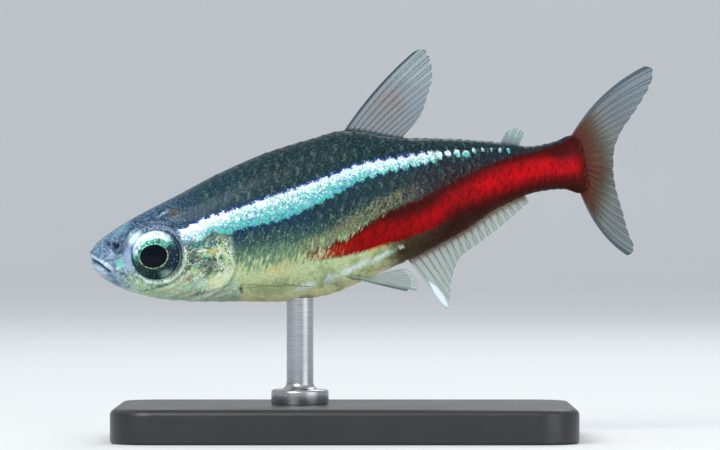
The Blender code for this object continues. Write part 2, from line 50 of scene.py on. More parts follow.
fishPlan = {
    # distance from the snout, height of the back, height of the belly, half width
    "stations": ((0.0, 0.00, -0.10, 0.00), (0.25, 0.60, -0.90, 0.64), (0.9, 1.03, -1.52, 1.06),
                 (2.0, 1.50, -2.22, 1.42), (3.3, 1.93, -2.78, 1.66), (5.0, 2.42, -3.21, 1.84),
                 (7.3, 3.12, -3.66, 2.00), (10.0, 3.73, -4.13, 2.05), (12.4, 4.00, -4.08, 1.99),
                 (14.2, 4.12, -3.66, 1.89), (17.0, 3.22, -2.97, 1.55), (19.5, 2.68, -2.19, 1.15),
                 (21.8, 2.10, -1.28, 0.86), (24.0, 1.46, -0.95, 0.68), (25.2, 1.48, -1.08, 0.56),
                 (26.2, 1.62, -1.44, 0.32), (26.5, 1.46, -1.28, 0.16), (26.62, 1.20, -1.05, 0.04)),
    "fullness": 0.85,      # below 1 the flanks are fuller than an ellipse
    "supportPlace": 10.3,  # s where the rod meets the belly
    "noseDown": math.radians(10.9),
    "turn": math.radians(6.0),
    "tailBend": math.radians(8.0),
    "bendStart": 12.0,
    "bendEnd": 26.15,
    "rodX": -2.35,
    "bellyHeight": 7.25,
}


def smooth(low, high, value):
    # eased step from 0 at low to 1 at high
    t = np.clip((value - low) / (high - low), 0, 1)
    return t * t * (3 - 2 * t)


def hump(away):
    # 1 in the middle and falling off as a bell: e to the power of minus the square
    return np.exp(-away ** 2)


# The body's form

def hermite(knots, values, x):
    # cubic pieces through the values, each with the slope of the chord round its knot
    slopes = np.gradient(values, knots, axis=0)
    i = np.clip(np.searchsorted(knots, x) - 1, 0, len(knots) - 2)
    width = knots[i + 1] - knots[i]
    t = (x - knots[i]) / width
    if values.ndim > 1:
        width, t = width[..., None], t[..., None]
    start = (1 + 2 * t) * (1 - t) ** 2 * values[i] + t * (1 - t) ** 2 * width * slopes[i]
    end = t ** 2 * (3 - 2 * t) * values[i + 1] + t ** 2 * (t - 1) * width * slopes[i + 1]
    return start + end


def through(points, t):
    # smooth curve through a few points, by the share of their distance
    steps = np.linalg.norm(np.diff(points, axis=0), axis=1)
    knots = np.concatenate([[0.0], np.cumsum(steps)]) / steps.sum()
    return hermite(knots, points, t)


stations = np.array(fishPlan["stations"])


def stationValue(column, s):
    # read in the square root of s, so that the snout is round
    root = np.sqrt(np.clip(s, 0, stations[-1, 0]))
    return hermite(np.sqrt(stations[:, 0]), stations[:, column], root)


def backHeight(s):
    return stationValue(1, s)


def bellyHeight(s):
    return stationValue(2, s)


def barePoint(s, angle):
    # section: half width times the cosine to the power of the fullness, half depth times the sine
    top, bottom = backHeight(s), bellyHeight(s)
    across = np.cos(angle)
    y = stationValue(3, s) * np.sign(across) * np.abs(across) ** fishPlan["fullness"]
    h = (top + bottom) / 2 + (top - bottom) / 2 * np.sin(angle)
    return np.stack([s + 0 * h, y, h], axis=-1)


def unit(vectors):
    return vectors / np.maximum(np.linalg.norm(vectors, axis=-1, keepdims=True), 1e-12)


def bareNormal(s, angle):
    # across the two directions in which the section and the station change
    step = 0.004
    root = np.sqrt(s)
    along = barePoint((root + step) ** 2, angle) - barePoint(np.maximum(root - step, 0.0) ** 2, angle)
    around = barePoint(s, angle + step) - barePoint(s, angle - step)
    return unit(np.cross(around, along))


def place(points):
    # bend sideways along the centre line, tilt nose down, carry to metres over the stand
    plan = fishPlan
    points = np.asarray(points, float)
    table = np.linspace(-5.0, 40.0, 1801)
    share = np.clip((table - plan["bendStart"]) / (plan["bendEnd"] - plan["bendStart"]), 0, 1.1)
    heading = plan["turn"] + plan["tailBend"] * share ** 2
    middle = (heading[1:] + heading[:-1]) / 2
    step = table[1] - table[0]
    lineX = np.concatenate([[0.0], np.cumsum(np.cos(middle) * step)])
    lineY = np.concatenate([[0.0], np.cumsum(np.sin(middle) * step)])
    lineX -= np.interp(plan["supportPlace"], table, lineX)
    lineY -= np.interp(plan["supportPlace"], table, lineY)
    s, y, h = points[..., 0], points[..., 1], points[..., 2]
    turned = np.interp(s, table, heading)
    x = np.interp(s, table, lineX) - y * np.sin(turned)
    across = np.interp(s, table, lineY) + y * np.cos(turned)
    h = h - float(bellyHeight(np.array(plan["supportPlace"])))
    cosine, sine = math.cos(plan["noseDown"]), math.sin(plan["noseDown"])
    return np.stack([x * cosine - h * sine + plan["rodX"], across,
                     x * sine + h * cosine + plan["bellyHeight"]], axis=-1) * millimetre


# Meshes from grids

def gridFaces(rows, columns, closed=False):
    # the squares of a grid of points, by the numbers of their corners
    index = np.arange(rows * columns).reshape(rows, columns)
    if closed:
        index = np.concatenate([index, index[:, :1]], axis=1)
    corners = [index[:-1, :-1], index[:-1, 1:], index[1:, 1:], index[1:, :-1]]
    return np.stack(corners, axis=-1).reshape(-1, 4)


def ringFaces(rows, columns):
    # squares between rings, and a fan from each end ring to its pole; the poles are the last two points
    index = np.arange(rows * columns).reshape(rows, columns)
    after = np.roll(index, -1, axis=1)
    pole = np.full(columns, rows * columns)
    first = np.stack([after[0], index[0], pole], axis=-1)
    last = np.stack([index[-1], after[-1], pole + 1], axis=-1)
    return [gridFaces(rows, columns, closed=True), first, last]


def withPoles(rings):
    # the rings' points in one list, with the middle of the first and of the last ring after them
    return np.concatenate([rings.reshape(-1, 3), rings[[0, -1]].mean(axis=1)])


def shellFaces(rows, columns):
    # a closed thin piece: its front grid, its back grid and the rim between them
    count = rows * columns
    front = gridFaces(rows, columns)
    index = np.arange(count).reshape(rows, columns)
    loop = np.concatenate([index[0, :-1], index[:-1, -1], index[-1, :0:-1], index[:0:-1, 0]])
    after = np.roll(loop, -1)
    rim = np.stack([after, loop, loop + count, after + count], axis=-1)
    return [front, front[:, ::-1] + count, rim]


def turnedProfile(radius, level, steps):
    # a profile turned about the upright axis: x is radius times cosine, y is radius times sine
    turn = np.linspace(0, 2 * math.pi, steps, endpoint=False)
    radius, level = radius[:, None], level[:, None]
    return np.stack([radius * np.cos(turn), radius * np.sin(turn), level + 0 * turn], axis=-1)


def makeMesh(name, points, faces, uv=None, attributes=None, flip=False, sharp=None):
    # faces is a list of index arrays of 3 or 4 columns; uv is a matching list of corner arrays
    mesh = bpy.data.meshes.new(name)
    if flip:
        faces = [part[:, ::-1] for part in faces]
        uv = None if uv is None else [part[:, ::-1] for part in uv]
    counts = np.concatenate([np.full(len(part), part.shape[1]) for part in faces])
    corners = np.concatenate([part.reshape(-1) for part in faces]).astype(np.int32)
    mesh.vertices.add(len(points))
    mesh.vertices.foreach_set("co", np.asarray(points, np.float32).ravel())
    mesh.loops.add(len(corners))
    mesh.loops.foreach_set("vertex_index", corners)
    mesh.polygons.add(len(counts))
    starts = np.concatenate([[0], np.cumsum(counts)[:-1]]).astype(np.int32)
    mesh.polygons.foreach_set("loop_start", starts)
    mesh.update(calc_edges=True)
    if uv is not None:
        layer = mesh.uv_layers.new(name="OFBake")
        layer.data.foreach_set("uv", np.concatenate([part.reshape(-1) for part in uv]).astype(np.float32))
    for label, values in (attributes or {}).items():
        data = mesh.attributes.new(label, "FLOAT_VECTOR", "POINT")
        data.data.foreach_set("vector", np.asarray(values, np.float32).ravel())
    mesh.validate()
    mesh.shade_smooth()
    if sharp:
        mesh.set_sharp_from_angle(angle=math.radians(sharp))
    piece = bpy.data.objects.new(name, mesh)
    bpy.context.scene.collection.objects.link(piece)
    return piece


def standFor(piece, material, *nodes):
    # a finished piece takes its material and the place of its solids
    piece.data.materials.append(material)
    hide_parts(*nodes)
    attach(piece, "root")


# Shader helpers

class Field:
    # a value inside a node tree: each sign or function adds its node, so a formula reads as written

    def __init__(self, tree, socket):
        self.tree = tree
        self.socket = socket

    def calc(self, operation, *others):
        return addNode(self.tree, "Math", dict(enumerate((self, *others))), operation=operation)

    def __add__(self, other):
        return self.calc("ADD", other)

    def __sub__(self, other):
        return self.calc("SUBTRACT", other)

    def __rsub__(self, other):
        return addNode(self.tree, "Math", {0: other, 1: self}, operation="SUBTRACT")

    def __mul__(self, other):
        return self.calc("MULTIPLY", other)

    def __truediv__(self, other):
        return self.calc("DIVIDE", other)

    def __abs__(self):
        return self.calc("ABSOLUTE")

    def step(self, low, high):
        # smooth step from 0 at low to 1 at high, also downwards where low is the larger
        return addNode(self.tree, "MapRange", {"Value": self, "From Min": low, "From Max": high},
                       interpolation_type="SMOOTHSTEP")

    def band(self, low, high, soft):
        # 1 between two limits, with soft edges
        return self.step(low - soft, low + soft) * self.step(high + soft, high - soft)


def tint(screen):
    share = np.array(screen) / 255
    linear = np.where(share < 0.04045, share / 12.92, ((share + 0.055) / 1.055) ** 2.4)
    return (*map(float, linear), 1.0)


def feed(sockets, values):
    # link a field to its socket, or set a number, a vector or a colour on it
    for key, value in values.items():
        if isinstance(value, Field):
            value.tree.links.new(value.socket, sockets[key])
        elif sockets[key].type == "RGBA":
            sockets[key].default_value = tint(value)
        else:
            sockets[key].default_value = value


def addNode(tree, kind, inputs, outputs=(0,), **settings):
    # one node; gives the named output as a field, or a list where there are more
    made = tree.nodes.new("ShaderNode" + kind)
    for key, value in settings.items():
        setattr(made, key, value)
    feed(made.inputs, inputs)
    fields = [Field(tree, made.outputs[key]) for key in outputs]
    return fields if len(fields) > 1 else fields[0]


def larger(first, second):
    return first.calc("MAXIMUM", second)


def radiusOf(x, y):
    # square root of the sum of the squares
    return (x * x + y * y).calc("SQRT")


def join(x, y, z=0.0):
    return addNode(x.tree, "CombineXYZ", {0: x, 1: y, 2: z})


def split(vector):
    return addNode(vector.tree, "SeparateXYZ", {0: vector}, (0, 1, 2))


def attribute(tree, name):
    return addNode(tree, "Attribute", {}, ("Vector",), attribute_name=name)


def noise(vector, scale, detail=3.0, rough=0.5, stretch=None):
    if stretch:
        vector = addNode(vector.tree, "Mapping", {"Vector": vector, "Scale": stretch})
    return addNode(vector.tree, "TexNoise", {"Vector": vector, "Scale": scale, "Detail": detail,
                                             "Roughness": rough})


def randomCells(vector, scale):
    # distance from the middle of each cell, and the three random numbers that it holds
    away, colour = addNode(vector.tree, "TexVoronoi", {"Vector": vector, "Scale": scale},
                           ("Distance", "Color"))
    return away, addNode(vector.tree, "SeparateColor", {"Color": colour}, (0, 1, 2))


def blend(share, first, second, mode="MIX"):
    # the second colour laid over the first
    return addNode(share.tree, "Mix", {0: share, 6: first, 7: second}, (2,), data_type="RGBA",
                   blend_type=mode)


def colourRamp(value, stops):
    made = addNode(value.tree, "ValToRGB", {"Fac": value})
    ramp = made.socket.node.color_ramp
    ramp.interpolation = "EASE"
    while len(ramp.elements) < len(stops):
        ramp.elements.new(0.5)
    for element, (position, colour) in zip(ramp.elements, stops):
        element.position = position
        element.color = tint(colour)
    return made


def heightAlong(s, pairs):
    # a height drawn over s through a few pairs: the curve's square spans s 0 to 30 and h -6 to 6
    length, reach = 30.0, 6.0
    made = addNode(s.tree, "FloatCurve", {"Value": s / length})
    mapping = made.socket.node.mapping
    curve = mapping.curves[0]
    while len(curve.points) < len(pairs):
        curve.points.new(0.5, 0.5)
    for point, (along, height) in zip(curve.points, pairs):
        point.location = (along / length, (height + reach) / (2 * reach))
    mapping.update()
    return made * (2 * reach) - reach


def bumped(height, strength, distance=0.00002):
    return addNode(height.tree, "Bump", {"Height": height, "Strength": strength, "Distance": distance})


def newGroup(name, inputs, formula):
    # a node group: inputs are names with their starting values, None for a vector; the formula takes
    # them as fields and gives the outputs by name
    group = bpy.data.node_groups.new(name, "ShaderNodeTree")
    for label, value in inputs.items():
        kind = "NodeSocketVector" if value is None else "NodeSocketFloat"
        socket = group.interface.new_socket(label, in_out="INPUT", socket_type=kind)
        if value is not None:
            socket.default_value = value
    given = group.nodes.new("NodeGroupInput")
    results = formula(*[Field(group, given.outputs[label]) for label in inputs])
    for label in results:
        kind = "NodeSocketColor" if label == "Colour" else "NodeSocketFloat"
        group.interface.new_socket(label, in_out="OUTPUT", socket_type=kind)
    feed(group.nodes.new("NodeGroupOutput").inputs, results)
    return group


def useGroup(tree, group, **inputs):
    # the group's outputs in their order
    made = tree.nodes.new("ShaderNodeGroup")
    made.node_tree = group
    feed(made.inputs, inputs)
    return [Field(tree, socket) for socket in made.outputs]


def newMaterial(name, fixed):
    material = bpy.data.materials.new(name)
    material.use_nodes = True
    shader = material.node_tree.nodes["Principled BSDF"]
    feed(shader.inputs, fixed)
    return material, material.node_tree, shader


# Shared effects

def glitterCells(vector, scale, amount):
    # fine cells that light up at random, as the reflecting cells under a fish's skin do
    away, randoms = randomCells(vector, scale)
    lit = (randoms[0] - (1.0 - amount)).step(-0.05, 0.1)
    return {"Sparkle": lit * away.step(0.6, 0.15), "Grain": randoms[0]}


def wetPores(vector, fine, roughness):
    # soft pores and slime: a height for bump and a roughness that wanders
    broad = noise(vector, 2.0)
    return {"Height": noise(vector, fine) + broad * 0.6, "Roughness": (broad - 0.5) * 0.35 + roughness}


markingPlan = {
    # ground colours from the belly to the ridge by share of the depth: in front, and over the tail
    # the palest stop at the belly is partly the belly's own pale colour and partly painted light, raised to
    # make up for the little light that reaches the underside
    "frontGround": ((0.0, (240, 236, 182)), (0.10, (184, 200, 152)), (0.22, (184, 200, 152)),
                    (0.32, (100, 134, 104)), (0.41, (40, 74, 76)), (0.50, (18, 52, 74)),
                    (0.68, (14, 40, 46)), (1.0, (22, 42, 46))),
    "rearGround": ((0.0, (62, 34, 16)), (0.16, (48, 12, 6)), (0.60, (38, 22, 24)), (0.72, (24, 28, 42)),
                   (1.0, (14, 40, 46))),
    "creamShade": (150, 166, 116), "flankGrey": (32, 50, 50), "straw": (120, 146, 108),
    "strawWarm": (128, 124, 90), "backFront": (22, 58, 76), "backLight": (46, 84, 86),
    # the neon stripe: height of its top and foot over s, where it starts, ends and breaks into dots
    "stripeTop": ((0.0, 0.3), (4.6, 0.58), (5.9, 0.90), (8.1, 1.17), (10.3, 1.50), (12.5, 1.83),
                  (14.7, 2.18), (16.8, 2.16), (18.5, 2.14), (20.4, 1.92), (22.4, 1.66), (30.0, 1.3)),
    "stripeFoot": ((0.0, -0.1), (4.6, 0.02), (5.7, -0.12), (6.25, 0.16), (7.0, -0.02), (8.0, 0.08),
                   (10.1, 0.16), (12.4, 0.72), (14.6, 1.38), (16.8, 1.58), (18.5, 1.60), (20.4, 1.62),
                   (22.4, 1.42), (30.0, 1.1)),
    "stripeStart": 4.6, "stripeEnd": 18.7, "lastDot": 22.5, "dotRadius": 0.26, "dotPitch": 0.47,
    "grains": 10.5,        # grains in a millimetre
    "stripeWhite": (220, 246, 240), "stripePink": (240, 232, 240), "stripeTeal": (42, 182, 164),
    "stripeBlue": (56, 110, 176), "fringe": (26, 66, 150), "wash": (16, 50, 80),
    # the red band
    "redTop": ((0.0, -2.2), (11.0, -1.90), (12.9, -1.42), (15.3, -0.50), (17.5, -0.02), (19.7, 0.55),
               (22.0, 1.08), (24.1, 1.22), (25.4, 1.40), (26.4, 1.62), (30.0, 1.7)),
    "redFoot": ((0.0, -2.3), (11.0, -2.32), (12.9, -2.36), (15.0, -2.22), (17.1, -1.95), (19.4, -1.42),
                (21.6, -1.12), (23.9, -0.84), (26.0, -0.96), (30.0, -1.0)),
    "redEnd": 26.42,
    "redFront": (150, 6, 10), "redRear": (186, 4, 18), "redDark": (66, 10, 10),
    "redStart": (160, 44, 20), "redBrown": (48, 12, 6), "tailRoot": (92, 24, 12),
    # head
    "headTop": (84, 116, 146), "headDark": (26, 46, 66), "snout": (112, 144, 170),
    "snoutDark": (72, 102, 132), "vein": (26, 44, 70), "paleVein": (168, 190, 212),
    # the crease colour is painted shade for the skin's creases and pits; the lips' colour is a painted
    # highlight on their raised skin
    "crease": (22, 38, 56), "lips": (184, 204, 222), "cheek": (178, 198, 152),
    "cheekDark": (50, 70, 60), "cheekSilver": (208, 226, 212), "throat": (196, 236, 202),
    "orbit": (134, 152, 184), "orbitPale": (196, 212, 200), "eyePlace": (3.31, -0.46),
    "orbitRadius": 1.47,
    # ovals laid over the head and belly: s, h, half length, half height, slant, colour, strength
    "ovals": (
        # the first oval is a painted glint of teal-white flecks on top of the snout
        (1.85, 1.22, 0.55, 0.20, 38, (120, 170, 190), 0.50),
        (1.22, 0.36, 0.26, 0.36, -20, (24, 40, 78), 0.80),
        (1.62, 0.62, 0.12, 0.46, -24, (34, 52, 84), 0.60),
        (1.05, 0.10, 0.10, 0.22, 10, (176, 200, 224), 0.60),
        (1.40, -0.58, 0.26, 0.15, -32, (104, 206, 196), 0.75),
        (1.22, -0.72, 0.10, 0.10, 0, (214, 240, 236), 0.90),
        (0.95, -0.95, 0.12, 0.62, 33, (140, 160, 186), 0.60),
        (0.66, -0.92, 0.40, 0.20, -46, (40, 70, 92), 0.75),
        (0.48, -0.58, 0.60, 0.08, -56, (156, 178, 206), 0.80),
        (1.80, -0.42, 0.22, 0.66, -10, (150, 174, 212), 0.75),
        (4.48, -0.08, 0.42, 0.07, -79, (36, 74, 150), 0.80),
        (0.27, -0.62, 0.26, 0.09, -60, (176, 198, 216), 0.90),
        (0.52, -0.96, 0.36, 0.07, -46, (168, 190, 206), 0.85),
        (0.62, -1.30, 0.46, 0.07, -42, (164, 188, 204), 0.85),
        (2.36, 0.62, 0.38, 0.28, 44, (214, 238, 244), 0.95),
        (4.56, 1.54, 0.34, 0.24, 20, (84, 76, 56), 0.65),
        (4.05, 1.62, 0.30, 0.06, 20, (170, 196, 210), 0.55),
        (5.50, -0.30, 0.46, 0.26, 0, (44, 128, 122), 0.80),
        (5.15, -0.85, 0.24, 0.42, -10, (24, 50, 74), 0.80),
        (6.18, -0.80, 0.26, 0.20, 10, (182, 182, 124), 0.90),
        (6.20, -0.42, 0.24, 0.16, 0, (34, 96, 108), 0.80),
        (5.85, -1.45, 0.58, 0.46, -12, (40, 54, 50), 0.80),
        (6.35, -1.55, 0.26, 0.16, 60, (150, 166, 140), 0.80),
        (5.62, -1.62, 0.30, 0.08, 40, (170, 184, 160), 0.80),
        (4.55, -1.92, 0.40, 0.14, 12, (160, 126, 80), 0.55),
        (6.55, -0.72, 0.05, 0.20, 28, (216, 226, 208), 0.85),
        (6.86, -1.16, 0.05, 0.42, 27, (216, 226, 200), 0.85),
        (6.62, -1.86, 0.52, 0.05, 38, (208, 218, 190), 0.80),
        (7.05, -0.48, 0.05, 0.34, 28, (120, 148, 158), 0.70),
        (6.15, -2.38, 0.62, 0.32, 10, (220, 226, 182), 0.90),
        (7.00, -2.05, 0.30, 0.40, 0, (206, 214, 164), 0.75),
        (5.10, -2.25, 0.34, 0.20, 30, (186, 214, 200), 0.75),
        (5.05, -2.72, 0.62, 0.07, 6, (96, 92, 60), 0.70),
        (6.15, -3.12, 0.44, 0.06, 6, (226, 214, 196), 0.75),
        (4.60, -2.72, 0.40, 0.05, 8, (214, 182, 158), 0.55),
        (3.40, -2.30, 0.80, 0.10, 4, (198, 206, 160), 0.70),
        (3.00, -2.08, 0.90, 0.07, 4, (60, 76, 54), 0.65),
        (7.30, -3.02, 0.09, 0.22, -20, (28, 32, 26), 0.90),
        (9.00, -3.16, 1.70, 0.03, -8, (90, 100, 66), 0.70),
        (9.45, -2.36, 0.80, 0.36, 0, (206, 188, 130), 0.40),
        (10.60, -3.50, 0.58, 0.15, 6, (226, 240, 236), 0.98),
        (11.95, -3.34, 0.34, 0.20, 16, (222, 238, 232), 0.98),
        (13.30, -3.04, 0.82, 0.17, 15, (226, 240, 236), 0.98),
        (14.75, -2.74, 0.70, 0.13, 16, (216, 230, 226), 0.95),
        (15.90, -2.42, 0.16, 0.12, 10, (196, 206, 200), 0.90),
        (14.60, -2.25, 0.50, 0.10, 10, (214, 150, 60), 0.60),
    ),
}


def groundColours(plan, at):
    # belly to back by height, the lower flank broken into upright strokes, the back dusted
    s, rise, strokes, grain = at.s, at.rise, at.strokes, at.grain
    lifted = grain * 0.18 + rise + strokes * (rise.band(0.18, 0.48, 0.10) * 0.56 + 0.16)
    colour = blend(s.step(14.5, 19.5), colourRamp(lifted, plan["frontGround"]),
                   colourRamp(lifted, plan["rearGround"]))
    greyed = s.step(10.0, 13.0) * rise.band(0.38, 0.66, 0.06) * s.step(19.0, 16.0) * 0.6
    colour = blend(greyed, colour, plan["flankGrey"])
    shaded = at.blotch.step(0.46, 0.60) * rise.step(0.34, 0.20) * s.band(10.2, 15.6, 2.0) * 0.6
    colour = blend(shaded, colour, plan["creamShade"])
    bluish = s.step(11.0, 6.5) * rise.step(0.56, 0.66) * 0.6
    colour = blend(bluish, colour, plan["backFront"])
    dusted = rise.step(0.50, 0.66) * (strokes * 0.6 + at.speck).step(0.48, 0.72) * s.step(24.0, 17.0) * 0.6
    colour = blend(dusted, colour, plan["backLight"])
    pale = (grain * 0.8 + strokes).step(0.03, 0.17) * rise.band(0.26, 0.50, 0.06) * s.step(17.5, 14.5) * 0.6
    colour = blend(pale, colour, plan["straw"])
    # warm straw just above where the red starts
    over = at.h - heightAlong(s, plan["redTop"])
    warm = over.band(-0.2, 0.75, 0.25) * s.band(10.6, 16.8, 1.4) * (strokes + grain).step(-0.14, 0.10) * 0.75
    return blend(warm, colour, plan["strawWarm"])


def headColours(plan, at, colour):
    # slate blue above, pale blue veined snout, silver and straw cheek with dark lines and teal flecks
    s, rise, speck, grain, ragged = at.s, at.rise, at.speck, at.grain, at.ragged
    veins = abs(noise(at.spread, 2.6, 3.0, 0.55) - 0.5)
    slate = blend((ragged * 0.6 + speck).step(0.38, 0.66), plan["headDark"], plan["headTop"])
    colour = blend(s.step(6.4, 3.2) * rise.step(0.45, 0.62), colour, slate)
    cheekMask = s.step(7.45, 6.9) * rise.step(0.62, 0.46)
    cheek = blend((grain * 0.6 + at.blotch).step(0.58, 0.66), plan["cheek"], plan["stripeTeal"])
    cheek = blend(rise.step(0.26, 0.14) * 0.7, cheek, plan["throat"])
    silvery = (grain * 0.35 + noise(at.spread, 2.6, 3.0, 0.6)).step(0.49, 0.58)
    cheek = blend(silvery * 0.85, cheek, plan["cheekSilver"])
    lines = larger((ragged + grain * 0.5).step(-0.02, -0.16) * 0.8, veins.step(0.045, 0.012))
    cheek = blend(lines * (rise.step(0.10, 0.32) * 0.6 + 0.3), cheek, plan["cheekDark"])
    colour = blend(cheekMask * 0.95, colour, cheek)
    snout = blend((speck + ragged).step(0.30, 0.68), plan["snoutDark"], plan["snout"])
    snout = blend(veins.step(0.045, 0.01) * 0.4, snout, plan["vein"])
    paleVeins = abs(noise(at.spread, 3.4, 2.0, 0.5) - 0.5)
    snout = blend(paleVeins.step(0.035, 0.008) * 0.6, snout, plan["paleVein"])
    colour = blend((ragged + s).step(2.3, 1.0) * 0.9, colour, snout)
    # ring of skin round the eye with folds over it, palest behind and below
    eyeS, eyeH = plan["eyePlace"]
    radius = plan["orbitRadius"]
    fromS, fromH = s - eyeS, at.h - eyeH
    fromEye = radiusOf(fromS, fromH)
    uneven = ragged * 0.25 + fromEye
    ring = uneven.band(radius - 0.15, radius + 0.12, 0.06) * speck.step(0.34, 0.62)
    colour = blend(ring * ((fromH + ragged).step(-1.1, -0.5) * 0.45 + 0.3), colour, plan["orbit"])
    # painted shade: dark lines in the folds over the eye
    waves = (uneven * 24.0).calc("SINE").step(0.1, 0.9)
    folds = waves * fromEye.band(1.60, 2.15, 0.10) * fromH.step(0.2, 1.0)
    colour = blend(folds * 0.45, colour, plan["vein"])
    behind = (fromS * 0.8 + fromH * -0.6).step(0.8, 1.2)
    crescent = fromEye.band(radius - 0.05, radius + 0.05, 0.04) * behind * speck.step(0.28, 0.5)
    return blend(crescent * 0.85, colour, plan["orbitPale"]), cheekMask


def redBand(plan, at, colour):
    # brightest along its middle and crossed by dark strokes, ragged where it starts and ends
    s, h, strokes = at.s, at.h, at.strokes
    top = strokes * (s.step(16.5, 13.0) * 0.60 + 0.70) + heightAlong(s, plan["redTop"])
    foot = strokes * 0.45 + heightAlong(s, plan["redFoot"])
    overFoot = h - foot
    brown = overFoot.step(0.20, 0.02) * (at.blotch * 2.0 + s).step(15.0, 17.2)
    colour = blend(brown * 0.92, colour, plan["redBrown"])
    start = (strokes * 8.0 + s).step(10.6, 12.4)
    end = (at.ragged * 1.2 + s).step(plan["redEnd"] + 0.12, plan["redEnd"] - 0.12)
    colour = blend(1.0 - end, colour, plan["tailRoot"])
    mask = (top - h).step(-0.10, 0.16) * overFoot.step(-0.08, 0.12) * start * end
    # its bright core, narrower from below and above in places
    share = strokes * 0.45 + overFoot / larger(top - foot, 0.1)
    lowEdge = s.step(17.4, 19.4) * 0.30
    highEdge = s.band(15.6, 18.4, 0.9) * 0.20 + s.step(24.0, 25.4) * 0.22
    core = (share - lowEdge).step(-0.25, 0.22) * (share + highEdge).step(0.98, 0.55) * s.step(26.6, 26.0)
    core = core * ((at.grain * 0.5 + strokes).step(-0.16, 0.04) * 0.55 + 0.45)
    hue = blend((at.blotch * 3.0 + s).step(17.5, 22.5), plan["redFront"], plan["redRear"])
    hue = blend(s.step(14.0, 11.5), hue, plan["redStart"])
    hue = blend(core * (1.0 - s.band(18.4, 20.2, 0.9) * 0.35), plan["redDark"], hue)
    return blend(mask, colour, hue), mask, 1.0 - larger(mask, brown)


def neonStripe(plan, at, colour, index):
    # grains of white and pink above and teal below, scalloped by the scales, with a deep blue
    # fringe, breaking up into dots towards the tail
    s, h, grain, ragged, strokes = at.s, at.h, at.grain, at.ragged, at.strokes
    start, end, lastDot = plan["stripeStart"], plan["stripeEnd"], plan["lastDot"]
    wave = abs(((h * 0.35 + index) * math.pi).calc("SINE"))
    bead = (wave.calc("POWER", 0.6) - 0.7) * (s.step(11.0, 16.0) * 0.10 + 0.10)
    wander = grain * 0.42 + ragged * 0.30
    top = heightAlong(s, plan["stripeTop"]) + bead + wander
    foot = heightAlong(s, plan["stripeFoot"]) + wander - bead
    across = (h - foot) / larger(top - foot, 0.05)
    begin = (ragged * 0.8 + s).step(start - 0.1, start + 0.2)
    solid = (top - h).step(-0.03, 0.04) * (h - foot).step(-0.03, 0.04) * begin * s.step(end, end - 0.3)
    # dots: one to a scale, each with its own size and height
    number = addNode(s.tree, "TexWhiteNoise", {"W": index.calc("FLOOR")}, noise_dimensions="1D")
    fromMiddle = (index.calc("FRACT") - 0.5) * plan["dotPitch"]
    fromLevel = (number - 0.5) * 0.26 + (h - (top + foot) * 0.5)
    size = (number * 0.6 + 0.55) * (s.step(18.8, 21.5) * -0.50 + 1.0)
    inside = size * plan["dotRadius"] - (grain * 0.12 + radiusOf(fromMiddle, fromLevel))
    dots = inside.step(-0.015, 0.03) * s.step(end - 0.3, end) * s.step(lastDot + 0.1, lastDot)
    stripe = larger(solid, dots)
    # fringe: scattered blue grains above, a weak wash below
    reach = begin * s.step(end + 0.5, end - 2.0)
    wash = (ragged * 0.6 + (foot - h)).step(0.60, 0.0) * across.step(0.8, 0.4) * 0.32
    colour = blend(wash * reach, colour, plan["wash"])
    halo = (grain * 0.5 + (h - top)).step(0.20, 0.0) * across.step(0.4, 0.8) * 0.85
    colour = blend(halo * reach, colour, plan["fringe"])
    # grains of the stripe itself
    fromCell, (chance, second, third) = randomCells(at.spread, plan["grains"])
    whiter = s.step(7.2, 5.6) * 0.35 + s.step(13.0, 17.0) * s.step(20.5, 18.5) * 0.22
    tealness = (chance - 0.5) * 0.60 + across + whiter + (bead * 0.8 + strokes * 0.8)
    pale = blend(second.step(0.45, 0.9), plan["stripeWhite"], plan["stripePink"])
    teal = blend(third.step(0.62, 0.95), plan["stripeTeal"], plan["stripeBlue"])
    grains = blend(tealness.step(0.98, 0.22) * 0.92, pale, teal)
    shade = fromCell.step(0.35, 0.75) * 0.20 + second.step(0.2, 0.0) * 0.35
    return blend(stripe, colour, blend(shade, grains, plan["fringe"])), stripe, chance


def layOval(place, breakUp, colour, oval):
    # one ragged oval of colour over what is there: the distance is scaled and turned to its shape
    s, h, length, height, slant, over, strength = oval
    laid = addNode(place.tree, "Mapping", {"Vector": place, "Location": (s, h, 0.0),
                                           "Rotation": (0.0, 0.0, math.radians(slant)),
                                           "Scale": (length, height, 1.0)}, vector_type="TEXTURE")
    away = addNode(place.tree, "VectorMath", {0: laid}, ("Value",), operation="LENGTH")
    return blend((away + breakUp).step(1.5, 0.35) * strength, colour, over)


